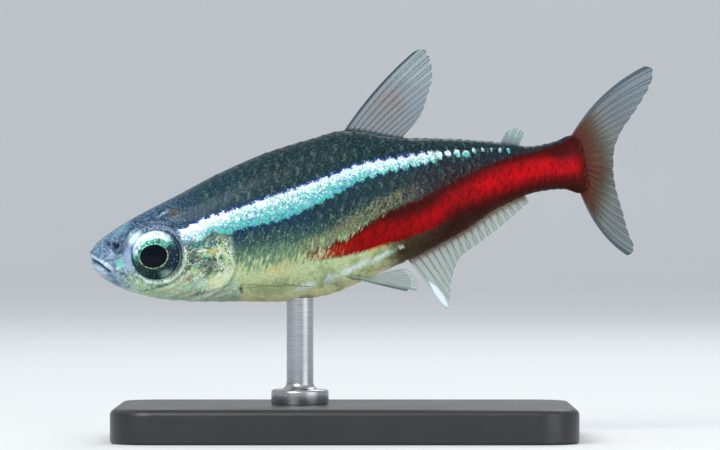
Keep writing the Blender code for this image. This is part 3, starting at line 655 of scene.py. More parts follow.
def bodyMarkings(place, side):
    # every colour of the body by place: place holds s, the share of the depth above the belly, and h;
    # side holds how many scales lie in front, y and the height of the relief
    plan = markingPlan
    s, rise, h = split(place)
    index, y, raised = split(side)
    # noises that all the markings share: grains, ragged edges and upright strokes that lean back
    spread = join(s, y, h)
    leaning = join(h * -1.1 + s * 2.5, y * 1.5, h * 0.75)
    speck, blotch = noise(spread, 10.0, 3.0, 0.75), noise(spread, 1.1, 4.0, 0.6)
    grain, ragged = speck - 0.5, noise(spread, 5.0, 4.0, 0.75) - 0.5
    strokes = noise(leaning, 3.0, 4.0, 0.65) - 0.5
    at = SimpleNamespace(s=s, rise=rise, h=h, spread=spread, speck=speck, grain=grain, ragged=ragged,
                         strokes=strokes, blotch=blotch)
    colour = groundColours(plan, at)
    colour, cheekMask = headColours(plan, at, colour)
    colour, redMask, calm = redBand(plan, at, colour)
    warped = join(ragged * 0.55 + s, strokes * 0.45 + h)
    breakUp = grain * 2.0 + strokes * 0.8
    for oval in plan["ovals"]:
        colour = layOval(warped, breakUp, colour, oval)
    # light and dark grains over everything but the stripe
    contrast = (1.0 - redMask * 0.5) * 0.65 * (s.step(2.4, 1.2) * -0.5 + 1.0)
    colour = blend(contrast, colour, grain * 2.0 + (strokes * 0.9 + 0.5), "SOFT_LIGHT")
    # painted shade darkens the creases and pits where the relief sinks, and a painted highlight pales the
    # raised lips
    colour = blend(raised.step(-0.02, -0.16) * 0.75, colour, plan["crease"])
    colour = blend(raised.step(0.04, 0.10) * s.step(1.3, 0.9) * 0.70, colour, plan["lips"])
    colour, stripe, chance = neonStripe(plan, at, colour, index)
    silver = larger(blotch.step(0.45, 0.6) * rise.step(0.22, 0.12), cheekMask * speck.step(0.4, 0.6))
    edge = (rise.step(0.22, 0.42) * 0.16 + 0.10) * (stripe * -0.7 + 1.0)
    # Glow makes the neon stripe give off its own colour: painted light standing in for its bright reflection
    return {"Colour": colour, "Shine": larger(larger(stripe, silver) * 0.35, redMask * 0.45),
            "Glow": stripe * (chance * 0.4 + 0.6), "Fine": speck, "Strokes": strokes, "Edge": edge,
            "Calm": calm}


glitter = newGroup("glitter", {"Vector": None, "Scale": 8.0, "Amount": 0.5}, glitterCells)
wetGrain = newGroup("wetGrain", {"Vector": None, "Fine": 14.0, "Roughness": 0.3}, wetPores)
markings = newGroup("fishMarkings", {"Place": None, "Side": None}, bodyMarkings)
print("shared effects made")


# Scale rows, which the markings follow

scalePlan = {
    "pitchAt": (5.0, 15.0, 18.0, 20.0, 24.0),
    "pitch": (0.60, 0.64, 0.52, 0.47, 0.44),   # one scale to the next along a row
    "rowStep": 0.66,                           # one row to the next round the flank
    "rowsEachWay": 9,
    "firstS": 5.2,
    "lastS": 25.6,
    "length": 1.50,                            # of the pitch
    "height": 1.16,                            # of the row step
    "sink": 0.026,
    "lift": 0.038,
    "thickness": 0.018,
    "across": 7,
    "along": 4,
    "seed": 7,
    "mapShrink": 0.62,                         # size of each scale on the flat map
    "mapLength": 27.5,
    "mapReach": 5.6,
}

scaleStations = np.linspace(0.0, 28.0, 561)
scaleSteps = np.diff(scaleStations) / np.interp(scaleStations[1:], scalePlan["pitchAt"], scalePlan["pitch"])
scaleCounts = np.concatenate([[0.0], np.cumsum(scaleSteps)])
scaleCounts -= np.interp(scalePlan["firstS"], scaleStations, scaleCounts)


# Skin

skinPlan = {
    "rings": 380,
    "around": 236,
    "start": 0.01,
    "end": 26.61,
    "snoutTip": 0.02,      # how far the snout's pole stands before the first ring
    "eye": (3.28, -0.46),
    "eyeDip": 0.42,
    # round the eye: radius, half width, height; the rim goes all round, the folds above and below
    "eyeRim": (1.46, 0.09, 0.06),
    "eyeFolds": ((1.66, 0.055, -0.016), (1.80, 0.055, 0.016), (1.96, 0.055, -0.012)),
    "mouthCorner": (0.78, -0.80),
    "mouthSlope": math.radians(46.0),
    # along the mouth: place above its line, half width, height, where it fades in before the corner
    "mouthFolds": ((0.0, 0.065, -0.24, -0.12, 0.08), (0.17, 0.10, 0.10, -0.25, 0.15),
                   (-0.17, 0.11, 0.09, -0.25, 0.15), (-0.42, 0.06, -0.04, -0.15, 0.15)),
    "lipTip": (0.28, 0.13, 0.13),           # height over the axis, radius, rise
    "nostrils": ((0.98, 0.62, 0.12), (1.36, 0.42, 0.14)),
    "nostrilDepth": 0.18,
    "nostrilFlap": (1.17, 0.53, 0.07, 0.16, 0.18),
    # bony plates of the jaws: start, end, half width, height
    "bones": (((0.72, -0.42), (1.50, -1.66), 0.15, 0.055), ((0.30, -0.88), (1.30, -1.86), 0.16, 0.035),
              ((1.15, -0.45), (2.05, -1.72), 0.13, 0.030)),
    # gill cover: its free edge as a distance from the centre by bearing, and the ridges on it
    "coverCentre": (5.0, -1.15),
    "coverBearings": (-180, -120, -85, -60, -35, -10, 15, 40, 62, 90, 180),
    "coverReach": (3.6, 2.6, 2.05, 2.05, 2.25, 2.30, 2.15, 2.05, 2.05, 1.9, 3.6),
    "coverRidges": (((6.55, -0.62), (6.98, -1.50)), ((6.98, -1.50), (6.20, -2.15)),
                    ((5.35, -0.55), (5.75, -1.55)), ((6.95, -0.20), (7.22, -0.80))),
}


def coverEdge(points):
    # how far inside the gill cover's free edge a point lies: the edge is a rounded outline
    centreS, centreH = skinPlan["coverCentre"]
    s, h = points[..., 0] - centreS, points[..., 2] - centreH
    reach = hermite(np.radians(skinPlan["coverBearings"]), np.array(skinPlan["coverReach"]), np.arctan2(h, s))
    return reach - np.hypot(s, h)


def strokeAway(s, h, start, end):
    # distance from a straight stroke between two places on the flank
    run = np.array(end) - np.array(start)
    share = ((s - start[0]) * run[0] + (h - start[1]) * run[1]) / (run @ run)
    share = np.clip(share, 0, 1)
    return np.hypot(s - start[0] - share * run[0], h - start[1] - share * run[1])


def mouthRelief(plan, s, y, h):
    # a groove along a sloping line with a rolled lip on each side of it, the upper lip's raised tip,
    # the jaw bones behind the mouth, and the nostrils: two pits and the flap between them
    cornerS, cornerH = plan["mouthCorner"]
    cosine, sine = math.cos(plan["mouthSlope"]), math.sin(plan["mouthSlope"])
    offLine = (h - cornerH) * cosine + (s - cornerS) * sine
    along = (cornerS - s) * cosine + (h - cornerH) * sine
    rise = 0
    for above, width, height, low, high in plan["mouthFolds"]:
        rise = rise + height * hump((offLine - above) / width) * smooth(low, high, along)
    tipHeight, tipRadius, tipRise = plan["lipTip"]
    rise = rise + tipRise * hump(np.hypot(h - tipHeight, y * 0.9) / tipRadius) * (s < 0.6)
    for start, end, width, height in plan["bones"]:
        away = strokeAway(s, h, start, end)
        rise = rise + height * smooth(width * 1.25, width * 0.75, away) * smooth(0.2, 0.5, y)
    for pitS, pitH, radius in plan["nostrils"]:
        away = np.hypot(s - pitS, h - pitH)
        rise = rise - plan["nostrilDepth"] * hump(away / radius) + 0.05 * hump((away - 0.21) / 0.07)
    flapS, flapH, length, height, flapRise = plan["nostrilFlap"]
    return rise + flapRise * hump(np.hypot((s - flapS) / length, (h - flapH) / height))


def eyeRelief(plan, s, y, h):
    # the skin dips under the ball, swells into a rim and folds round it
    eyeS, eyeH = plan["eye"]
    away = np.hypot(s - eyeS - 0.03, h - eyeH)
    upward = np.sin(np.arctan2(h - eyeH, s - eyeS))
    radius, width, height = plan["eyeRim"]
    rise = height * hump((away - radius) / width) - plan["eyeDip"] * smooth(1.36, 1.22, away)
    for radius, width, height in plan["eyeFolds"]:
        aboveAndBelow = smooth(0.2, 0.7, upward) + smooth(-0.3, -0.8, upward)
        rise = rise + height * hump((away - radius) / width) * aboveAndBelow
    return rise * smooth(0.5, 0.9, y)


def coverRelief(plan, points, s, y, h):
    # gill cover lifted towards a free rear edge, with the fore cover's ridge in front of it, and the
    # throat's fine folds over the gill rays
    inside = coverEdge(points)
    lift = smooth(-0.02, 0.05, inside) * (0.05 + 0.07 * smooth(1.2, 0.1, inside))
    fore = inside - 1.15 + 0.25 * np.sin(h * 1.7)
    rise = lift * smooth(0.95, 0.4, h) - 0.035 * hump((inside + 0.06) / 0.07)
    rise = rise + 0.04 * (smooth(-0.03, 0.03, fore) - 0.5) * smooth(0.4, 0.0, h)
    for start, end in plan["coverRidges"]:
        rise = rise + 0.045 * hump(strokeAway(s, h, start, end) / 0.055)
    throat = smooth(2.2, 3.4, s) * smooth(7.0, 6.2, s) * smooth(-2.3, -2.8, h)
    return rise * smooth(2.9, 4.4, s) * smooth(0.25, 0.7, y) + 0.018 * np.sin((h - 0.12 * s) * 22.0) * throat


def relief(points):
    # height of the skin above the bare form, fading out at the very tip of the snout
    s, y, h = points[..., 0], np.abs(points[..., 1]), points[..., 2]
    rise = mouthRelief(skinPlan, s, y, h) + eyeRelief(skinPlan, s, y, h)
    rise = rise + coverRelief(skinPlan, points, s, y, h)
    return rise * smooth(0.0, 0.12, s)


def skinAt(s, angle, outset=0.0):
    bare = barePoint(s, angle)
    return bare + bareNormal(s, angle) * (relief(bare) + outset)[..., None]


def markingPlaces(s, angle):
    # what the markings read: s, the share of the depth above the belly and h; and how many scales lie
    # in front, y and the height of the relief
    bare = barePoint(s, angle)
    y, h = bare[..., 1], bare[..., 2]
    share = (h - bellyHeight(s)) / np.maximum(backHeight(s) - bellyHeight(s), 1e-6)
    index = np.interp(s, scaleStations, scaleCounts) + 0 * y
    return {"fishPlace": np.stack([bare[..., 0], share, h], axis=-1),
            "fishSide": np.stack([index, y, relief(bare)], axis=-1)}


def makeSkin():
    # rings packed towards the snout by the square root of s, with a pole at each end
    plan = skinPlan
    rows, columns = plan["rings"], plan["around"]
    root = np.linspace(math.sqrt(plan["start"]), math.sqrt(plan["end"]), rows)
    angle = np.linspace(0, 2 * math.pi, columns, endpoint=False)
    s, angle = np.broadcast_arrays((root ** 2)[:, None], angle[None, :])
    points = withPoles(skinAt(s, angle))
    points[-2, 0] -= plan["snoutTip"]
    values = {label: withPoles(grid) for label, grid in markingPlaces(s, angle).items()}
    # the flat map is the grid unrolled, with its poles as points on the top and bottom edge
    across = np.linspace(0, 1, columns + 1)
    corners = np.stack(np.meshgrid(across, np.linspace(0.004, 0.996, rows)), axis=-1)
    half = (across[:-1] + across[1:]) / 2
    firstMap = np.stack([corners[0, 1:], corners[0, :-1], np.stack([half, 0 * half], -1)], axis=1)
    lastMap = np.stack([corners[-1, :-1], corners[-1, 1:], np.stack([half, 0 * half + 1], -1)], axis=1)
    flatMap = [corners.reshape(-1, 2)[gridFaces(rows, columns + 1)], firstMap, lastMap]
    return makeMesh("fishSkin", place(points), ringFaces(rows, columns), flatMap, values)


def bodyShader(name, plan, onScales):
    # wet skin: the markings under a thin gloss, with grain in its height and roughness
    material, tree, shader = newMaterial(name, {"IOR": 1.33, "Coat Roughness": 0.12, "Coat IOR": 1.33,
                                                "Specular IOR Level": 0.22, "Emission Strength": plan["glow"],
                                                "Subsurface Radius": (0.0006, 0.0003, 0.0002),
                                                "Subsurface Weight": 0.05, "Subsurface Scale": 1.0})
    position = attribute(tree, "fishPlace")
    colour, shine, glow, fine, strokes, edge, calm = useGroup(
        tree, markings, Place=position, Side=attribute(tree, "fishSide"))
    height, roughness = useGroup(tree, wetGrain, Vector=position, Fine=plan["grain"],
                                 Roughness=plan["roughness"])
    sparkle, random = useGroup(tree, glitter, Vector=position, Scale=11.0, Amount=plan["sparkle"])
    if onScales:
        u, v, chance = split(attribute(tree, "scalePlace"))
        sideways = abs(u)
        rim = larger(v.step(0.80, 0.98), sideways.step(0.76, 1.0) * 0.6)
        colour = blend(rim * edge, colour, plan["rim"], "MULTIPLY")
        # painted highlight: a pale broken crescent before the free edge, where the scale's edge catches the
        # light
        broken = (fine * 0.5 + (chance * 0.12 + strokes)).step(0.26, 0.42)
        crescent = v.band(0.60, 0.78, 0.06) * sideways.step(0.95, 0.50) * calm * broken * edge
        colour = blend(crescent * 1.4, colour, plan["crescent"])
        rings = ((u * u * -0.35 + v) * 46.0).calc("SINE")
        height = rings * 0.12 + height
    glint = sparkle * calm * 0.25
    colour = blend(glint, colour, plan["glint"])
    # the emission makes the neon stripe glow: painted light for its reflection
    feed(shader.inputs, {"Base Color": colour, "Roughness": roughness, "Metallic": larger(shine, glint),
                         "Coat Weight": (random * 0.1 + plan["coat"]) * calm,
                         "Emission Color": blend(glow, (0, 0, 0), colour),
                         "Normal": bumped(height, plan["bump"])})
    return material


skinFinish = {"grain": 16.0, "roughness": 0.36, "sparkle": 0.08, "bump": 0.5, "glow": 0.16, "coat": 0.14,
              "glint": (150, 184, 172)}
# the scales' crescent colour is a painted highlight along their free edges
scaleFinish = {"grain": 12.0, "roughness": 0.36, "sparkle": 0.08, "bump": 0.4, "glow": 0.16, "coat": 0.06,
               "glint": (150, 184, 172), "rim": (14, 22, 30), "crescent": (98, 124, 118)}

skin = makeSkin()
standFor(skin, bodyShader("wetSkin", skinFinish, False),
         "head", "torso", "tail_stem", "gill_cover_left", "gill_cover_right")
print("skin made:", len(skin.data.polygons), "faces")


# Scales

def makeArcTable():
    # for each s, the angle at even shares of the arc from the middle of the flank to the back
    s = np.linspace(0.5, 26.6, 140)
    angle = np.linspace(0, math.pi / 2, 120)
    points = barePoint(s[:, None], angle[None, :])
    steps = np.linalg.norm(np.diff(points[..., 1:], axis=1), axis=-1)
    arc = np.concatenate([np.zeros((len(s), 1)), np.cumsum(steps, axis=1)], axis=1)
    shares = np.linspace(0, 1, 80)
    table = np.stack([np.interp(shares, row / row[-1], angle) for row in arc])
    return s, arc[:, -1], shares, table


def angleAtArc(arcTable, s, arc):
    # angle reached by walking an arc up (or down, if negative) from the middle of the flank; past the
    # crest or keel it runs on down the other flank
    knots, quarter, shares, table = arcTable
    walked = np.abs(arc) / np.interp(s, knots, quarter)
    over = walked > 1
    share = np.clip(np.where(over, 2 - walked, walked), 0, 1)
    row = np.clip((s - knots[0]) / (knots[1] - knots[0]), 0, len(knots) - 1.001)
    column = np.clip(share * (len(shares) - 1), 0, len(shares) - 1.001)
    i, j = row.astype(int), column.astype(int)
    a, b = row - i, column - j
    value = ((table[i, j] * (1 - a) + table[i + 1, j] * a) * (1 - b)
             + (table[i, j + 1] * (1 - a) + table[i + 1, j + 1] * a) * b)
    return np.where(over, math.pi - value, value) * np.sign(arc)


def scaleRoots(plan, arcTable):
    # rows keep their distance from the middle of the flank and stop where the body runs out; none
    # stands on the head, apart from the nape
    count = int(np.interp(plan["lastS"], scaleStations, scaleCounts)) + 1
    reach = plan["rowsEachWay"]
    column, row = np.meshgrid(np.arange(count), np.arange(-reach, reach + 1))
    s = np.interp(column + 0.5 * (row % 2), scaleCounts, scaleStations)
    arc = row * plan["rowStep"]
    quarter = np.interp(s, arcTable[0], arcTable[1])
    keep = (np.abs(arc) < quarter - 0.12 * plan["rowStep"]) & (s < plan["lastS"])
    s, arc = s[keep], arc[keep]
    bare = barePoint(s, angleAtArc(arcTable, s, arc))
    nape = smooth(5.0, 6.6, s) * (bare[:, 2] > 0.9)
    keep = ((coverEdge(bare) < -0.05) & (s > 6.7)) | (nape > 0.3)
    return s[keep], arc[keep]


def makeScales():
    # each scale is a shield with a rounded free edge: it starts under the skin and rises backwards
    plan = scalePlan
    arcTable = makeArcTable()
    rootS, rootArc = scaleRoots(plan, arcTable)
    count, rows, columns = len(rootS), plan["along"], plan["across"]
    rootS, rootArc = rootS[:, None, None], rootArc[:, None, None]
    draw = np.random.default_rng(plan["seed"])
    size = draw.uniform(0.94, 1.06, count)[:, None, None]
    lift = plan["lift"] * draw.uniform(0.8, 1.15, count)[:, None, None]
    chance = draw.random(count)[:, None, None]
    u = np.linspace(-1, 1, columns)[None, None, :]
    v = np.linspace(0, 1, rows)[None, :, None]
    length = np.interp(rootS, plan["pitchAt"], plan["pitch"]) * plan["length"] * size
    halfHeight = plan["rowStep"] * plan["height"] / 2 * size * (1 - 0.35 * smooth(18.0, 25.0, rootS))
    s = rootS + length * v * (1 - 0.36 * u ** 2)
    arc = rootArc + halfHeight * u * (1 - 0.16 * v ** 3)
    outset = -plan["sink"] + lift * (v + 0.15 * v ** 6) + 0.010 * (1 - u ** 2) * v - 0.012 * u ** 6
    s, arc, outset, u, v, chance = np.broadcast_arrays(s, arc, outset, u, v, chance)
    angle = angleAtArc(arcTable, s, arc)
    mapS = (rootS + (s - rootS) * plan["mapShrink"]) / plan["mapLength"]
    mapArc = 0.24 * (rootArc + (arc - rootArc) * plan["mapShrink"]) / plan["mapReach"]
    points, flatMap, values = [], [], {"fishPlace": [], "fishSide": [], "scalePlace": []}
    for side, middle in ((1, 0.25), (-1, 0.75)):
        turned = angle if side > 0 else math.pi - angle
        places = markingPlaces(s, turned)
        for sunk in (0.0, plan["thickness"]):
            points.append(skinAt(s, turned, outset - sunk))
            flatMap.append(np.stack([middle + side * mapArc, mapS], axis=-1))
            for label, grid in places.items():
                values[label].append(grid)
            values["scalePlace"].append(np.stack([u, v, chance], axis=-1))
    one = np.concatenate(shellFaces(rows, columns))
    start = np.arange(2 * count)[:, None, None] * 2 * rows * columns
    faces = one + start
    faces = np.concatenate([faces[:count].reshape(-1, 4)[:, ::-1], faces[count:].reshape(-1, 4)])

    def listed(grids):
        # scale by scale, the upper grid before the lower one
        halves = [np.stack(grids[i:i + 2], axis=1).reshape(-1, grids[0].shape[-1]) for i in (0, 2)]
        return np.concatenate(halves)

    scales = makeMesh("fishScales", place(listed(points)), [faces], [listed(flatMap)[faces]],
                      {label: listed(grids) for label, grids in values.items()}, sharp=40)
    return scales, count * 2


scales, scaleCount = makeScales()
scales.data.materials.append(bodyShader("scaleSkin", scaleFinish, True))
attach(scales, "root")
print("scales made:", scaleCount, "scales,", len(scales.data.polygons), "faces")


# Eyes

eyePlan = {
    "centre": (3.28, 1.25, -0.46),
    "radius": 1.35,
    "depth": 0.60,
    "toeOut": math.radians(8.0),
    "rings": 64,
    "around": 96,
    "domeShare": 0.6,      # share of the rings that the outer dome has, the rest closes the back
    # the iris, measured in shares of the radius
    "pupil": 0.53,
    "forward": 0.07,       # how far the pupil sits towards the snout
    "spokes": ((12, 30, 34), (34, 70, 66)),
    "teal": ((20, 82, 72), (120, 206, 184)),
    "navy": (18, 30, 56),
    # the next colour is a painted highlight of pale flecks low on the iris
    "lowHighlight": (170, 206, 200),
    "sparkle": (150, 180, 160),
    "arc": ((0.0, (246, 236, 240)), (0.5, (228, 240, 246)), (0.8, (150, 222, 218)), (1.0, (120, 150, 210))),
    "ring": ((84, 116, 156), (140, 166, 196)),
    "ringSilver": (198, 210, 196),
    "crease": (18, 32, 52),
    "pupilRim": (178, 196, 156),
    "pupilColour": (4, 9, 22),
}


def makeEye(name, side):
    # turned form: a flat dome outside with a low step at the pupil's edge, a shallow bowl behind
    plan = eyePlan
    t = np.linspace(0, 1, plan["rings"])
    share = plan["domeShare"]
    outside = t <= share
    radius = np.where(outside, np.sin(np.clip(t / share, 0, 1) * math.pi / 2),
                      np.cos(np.clip((t - share) / (1 - share), 0, 1) * math.pi / 2))
    dome = plan["depth"] * (1 - np.minimum(radius, 1.0) ** 2.6) ** 0.62
    dome = dome + 0.030 * hump((radius - 0.56) / 0.035) - 0.02 * smooth(0.5, 0.56, radius)
    dome = dome + 0.035 * hump((radius - 0.90) / 0.06)
    depth = np.where(outside, dome, -plan["depth"] * np.sqrt(np.clip(1 - radius ** 2, 0, 1)))
    rings = turnedProfile(plan["radius"] * radius, depth, plan["around"])[1:-1]
    x, z, y = rings[..., 0], rings[..., 1], rings[..., 2]
    inFront = np.where(outside[1:-1, None], 1.0, -1.0) + 0 * x
    poles = [[0, depth[0], 0], [0, depth[-1], 0]]
    points = np.concatenate([np.stack([x, y, z], axis=-1).reshape(-1, 3), poles])
    places = np.stack([x / plan["radius"], z / plan["radius"], inFront], axis=-1)
    places = np.concatenate([places.reshape(-1, 3), [[0, 0, 1], [0, 0, -1]]])
    x, y, z = points.T
    cosine, sine = math.cos(plan["toeOut"]), math.sin(plan["toeOut"])
    posed = np.stack([x * cosine - y * sine, x * sine + y * cosine, z], axis=-1) + plan["centre"]
    faces = ringFaces(*rings.shape[:2])
    spread = places[:, :2] * 0.235 + 0.25 + np.where(places[:, 2:] > 0, 0.0, 0.5) * (1, 0)
    return makeMesh(name, place(posed * (1, side, 1)), faces, [spread[part] for part in faces],
                    {"eyePlace": places}, flip=side > 0)


def irisShader():
    # dark pupil with a thin bright rim, a pale arc over the top with teal beneath it, a dark green
    # and navy lower part, and a bluish ring outside that turns silver below
    plan = eyePlan
    material, tree, shader = newMaterial("wetEye", {"IOR": 1.2, "Coat Weight": 0.35, "Coat Roughness": 0.03,
                                                    "Coat IOR": 1.2, "Specular IOR Level": 0.3,
                                                    "Emission Strength": 0.08})
    vector = attribute(tree, "eyePlace")
    x, z = split(vector)[:2]
    radius = radiusOf(x, z)
    grit = noise(vector, 9.0, 4.0, 0.75)
    wander = grit - 0.5
    spokes = noise(join(z.calc("ARCTAN2", x) * 9.0, radius), 2.0, 2.0)
    sparkle, random = useGroup(tree, glitter, Vector=vector, Scale=16.0, Amount=0.25)
    level = (z + (x * -0.20 + wander * 0.35)) / larger(radius, 0.05)
    colour = blend(spokes.step(0.35, 0.7), *plan["spokes"])
    teal = blend((random * 0.45 + grit).step(0.48, 0.92), *plan["teal"])
    colour = blend(level.step(-0.15, 0.6) * spokes.step(0.2, 0.5) * 0.9, colour, teal)
    colour = blend(x.step(0.35, 0.6) * z.step(0.45, 0.1) * 0.8, colour, plan["navy"])
    # painted highlight: pale silver-teal flecks low on the iris
    low = abs(x - 0.28).step(0.36, 0.05) * z.step(-0.52, -0.72)
    colour = blend(low * grit, colour, plan["lowHighlight"])
    colour = blend(sparkle * 0.40, colour, plan["sparkle"])
    fromArc = abs(wander * 0.22 + radius - 0.84)
    arc = fromArc.step(0.20, 0.12) * level.step(0.30, 0.60)
    colour = blend(arc, colour, colourRamp(random, plan["arc"]))
    offArc = 1.0 - arc
    silver = (x * 0.6 - z).step(0.45, 0.75)
    ringColour = blend(silver, blend(grit, *plan["ring"]), plan["ringSilver"])
    colour = blend(radius.step(0.90, 0.94) * offArc * 0.90, colour, ringColour)
    colour = blend(radius.band(0.875, 0.915, 0.015) * offArc * 0.75, colour, plan["crease"])
    # the pupil and its rim
    fromPupil = radiusOf(x + plan["forward"], z * 1.18) - plan["pupil"]
    rim = fromPupil.step(-0.02, 0.01) * fromPupil.step(0.06, 0.03)
    colour = blend(rim * grit.step(0.38, 0.60) * level.step(0.75, -0.2), colour, plan["pupilRim"])
    pupil = fromPupil.step(0.01, -0.015)
    colour = blend(pupil, colour, plan["pupilColour"])
    clear = 1.0 - pupil
    height, roughness = useGroup(tree, wetGrain, Vector=vector, Fine=20.0, Roughness=0.24)
    # the emission makes the pale arc glow faintly: painted light
    feed(shader.inputs, {"Base Color": colour, "Metallic": clear * 0.30, "Roughness": roughness,
                         "Emission Color": blend(arc, (0, 0, 0), colour),
                         "Normal": bumped((height + spokes) * clear, 0.4)})
    return material


irisMaterial = irisShader()
for side, label in ((-1, "left"), (1, "right")):
    standFor(makeEye("eyeBall." + label, side), irisMaterial, "eye_" + label)
print("eyes made")


# Fins

finPlan = {
    "thickness": 0.028,    # half of the membrane at its root
    "edge": 0.010,         # and at its margin
    "ray": 0.030,          # height of a ray over the membrane
    "rootSink": 0.16,      # how deep the roots sit in the flesh
    "pairedSink": 0.12,
    "perRay": 10,          # grid columns a ray
    "fork": 0.17,          # how far a parted ray's branches stand off its middle, in ray distances
    "forkAt": (0.45, 0.75),    # where it parts, by share of its length
    "segments": 110.0,     # waves of the rays' joints from root to margin, in radians
    "notch": 0.020,        # how far the margin draws in between the rays, as a share of their length
    "ripple": 0.016,       # slow waves of the membrane
}

# each fin's root runs between two places along s, sunk under the edge of the back or belly, or between
# two heights, or between two angles round the body; its margin runs from the leading ray on, by s and h,
# and y on the paired fins; swing is how far its tip leans sideways, and bow tells how far the leading
# edge bulges, up or down, and the corner that it starts from
medianFins = (
    {"name": "dorsalFin", "node": "dorsal_fin", "finish": "dorsalMembrane", "rays": 11, "rows": 60,
     "root": (14.12, 17.05), "edge": "back", "swing": -0.35, "bow": (0.20, 1, (14.12, 4.0)),
     "margin": ((18.62, 7.50), (19.16, 7.54), (19.40, 6.79), (19.36, 6.10), (18.87, 5.02), (18.38, 4.18),
                (17.85, 3.70))},
    {"name": "adiposeFin", "node": "adipose_fin", "finish": "adiposeFlesh", "rays": 3, "rows": 24,
     "root": (22.2, 23.1), "edge": "back",
     "margin": ((22.62, 2.42), (22.95, 2.56), (23.38, 2.50), (23.66, 2.20))},
    {"name": "analFin", "node": "anal_fin", "finish": "analMembrane", "rays": 18, "rows": 48,
     "root": (16.2, 22.95), "edge": "belly", "swing": 0.5,
     "margin": ((17.85, -6.16), (18.06, -5.75), (18.35, -4.72), (19.0, -3.62), (20.2, -2.98),
                (21.4, -2.40), (22.4, -1.84), (23.2, -1.38))},
    {"name": "caudalFin.upper", "node": "caudal_fin_upper", "finish": "tailMembrane", "rays": 10,
     "rows": 64, "root": (26.0, 26.2), "heights": (1.50, 0.06), "swing": 0.5,
     "bow": (0.46, 1, (26.0, 1.50)),
     "margin": ((31.15, 4.56), (31.42, 4.30), (31.15, 3.55), (30.50, 2.82), (29.65, 2.00), (28.90, 1.32),
                (28.36, 0.50), (28.04, -0.54))},
    {"name": "caudalFin.lower", "node": "caudal_fin_lower", "finish": "tailMembrane", "rays": 9,
     "rows": 64, "root": (26.0, 26.2), "heights": (-1.36, 0.07), "swing": 1.6,
     "bow": (0.46, -1, (26.0, -1.36)),
     "margin": ((28.50, -5.22), (28.78, -5.02), (28.60, -4.00), (28.42, -3.10), (28.26, -2.30),
                (28.10, -1.50), (28.04, -0.50))},
)
pairedFins = (
    {"name": "pelvicFin.", "node": "pelvic_fin_", "finish": "pairedMembrane", "rays": 8, "rows": 36,
     "root": (12.7, 13.2), "angles": (-56.0, -74.0),
     "margin": ((16.15, -4.80, 1.95), (16.38, -4.55, 1.65), (16.32, -4.05, 1.15), (15.95, -3.55, 0.75))},
    {"name": "pectoralFin.", "node": "pectoral_fin_", "finish": "pectoralMembrane", "rays": 10, "rows": 36,
     "root": (7.45, 7.60), "angles": (-48.0, -60.0),
     "margin": ((10.90, -3.55, 2.55), (11.00, -3.70, 2.45), (10.70, -3.90, 2.20), (10.10, -4.00, 1.85))},
)

# membranes: colours from root to margin and the length that they span, how opaque the skin and rays
# are, the leading streak's width and ends, and how far the flesh of the body reaches
finFinishes = {
    "dorsalMembrane": {
        "along": ((0.0, (52, 70, 74)), (0.25, (78, 98, 108)), (0.75, (104, 128, 140)),
                  (1.0, (128, 150, 158))),
        "span": 4.4, "alpha": 0.34, "rayAlpha": 0.30, "rayColour": (62, 76, 86), "leadWidth": 0.025,
        "leadEnds": (-0.3, 1.3), "leadColour": (52, 68, 82), "fleshy": 0.10,
        "patch": (96, 66, 44), "patchPlace": (0.35, 0.42, 0.35, 0.3)},
    "adiposeFlesh": {
        "along": ((0.0, (78, 98, 108)), (1.0, (150, 182, 178))),
        "span": 1.0, "alpha": 0.5, "rayAlpha": 0.0, "rayColour": (78, 98, 108), "leadWidth": 0.0,
        "leadEnds": (2.0, 3.0), "leadColour": (78, 98, 108), "fleshy": 0.3},
    "analMembrane": {
        "along": ((0.0, (120, 84, 60)), (0.25, (150, 172, 158)), (1.0, (166, 190, 180))),
        "span": 3.4, "alpha": 0.26, "rayAlpha": 0.34, "rayColour": (84, 108, 96), "leadWidth": 0.028,
        "leadEnds": (0.42, 1.12), "leadColour": (222, 238, 255), "fleshy": 0.16},
    "tailMembrane": {
        "along": ((0.0, (84, 10, 4)), (0.12, (76, 20, 2)), (0.26, (76, 44, 8)), (0.42, (60, 60, 34)),
                  (0.60, (54, 74, 82)), (1.0, (76, 102, 114))),
        "span": 5.0, "alpha": 0.42, "rayAlpha": 0.32, "rayColour": (74, 88, 98), "leadWidth": 0.02,
        "leadEnds": (-0.1, 1.4), "leadColour": (70, 84, 96), "fleshy": 0.50},
    "pairedMembrane": {
        "along": ((0.0, (150, 172, 158)), (1.0, (170, 194, 186))),
        "span": 3.4, "alpha": 0.16, "rayAlpha": 0.30, "rayColour": (96, 116, 100), "leadWidth": 0.035,
        "leadEnds": (-0.3, 1.3), "leadColour": (120, 146, 140), "fleshy": 0.10},
    "pectoralMembrane": {
        "along": ((0.0, (170, 176, 130)), (1.0, (190, 204, 172))),
        "span": 3.2, "alpha": 0.07, "rayAlpha": 0.18, "rayColour": (124, 130, 88), "leadWidth": 0.02,
        "leadEnds": (-0.3, 1.1), "leadColour": (110, 116, 84), "fleshy": 0.12},
}


def rootLine(shape, u):
    # along the back or the belly, between two heights, or between two angles round the body
    first, last = shape["root"]
    s = first + (last - first) * u
    if "angles" in shape:
        start, end = shape["angles"]
        angle = np.radians(start + (end - start) * u)
        return barePoint(s, angle) - finPlan["pairedSink"] * bareNormal(s, angle)
    if "heights" in shape:
        start, end = shape["heights"]
        h = start + (end - start) * u
    elif shape["edge"] == "back":
        h = backHeight(s) - finPlan["rootSink"]
    else:
        h = bellyHeight(s) + finPlan["rootSink"]
    return np.stack([s, 0 * s, h], axis=-1)


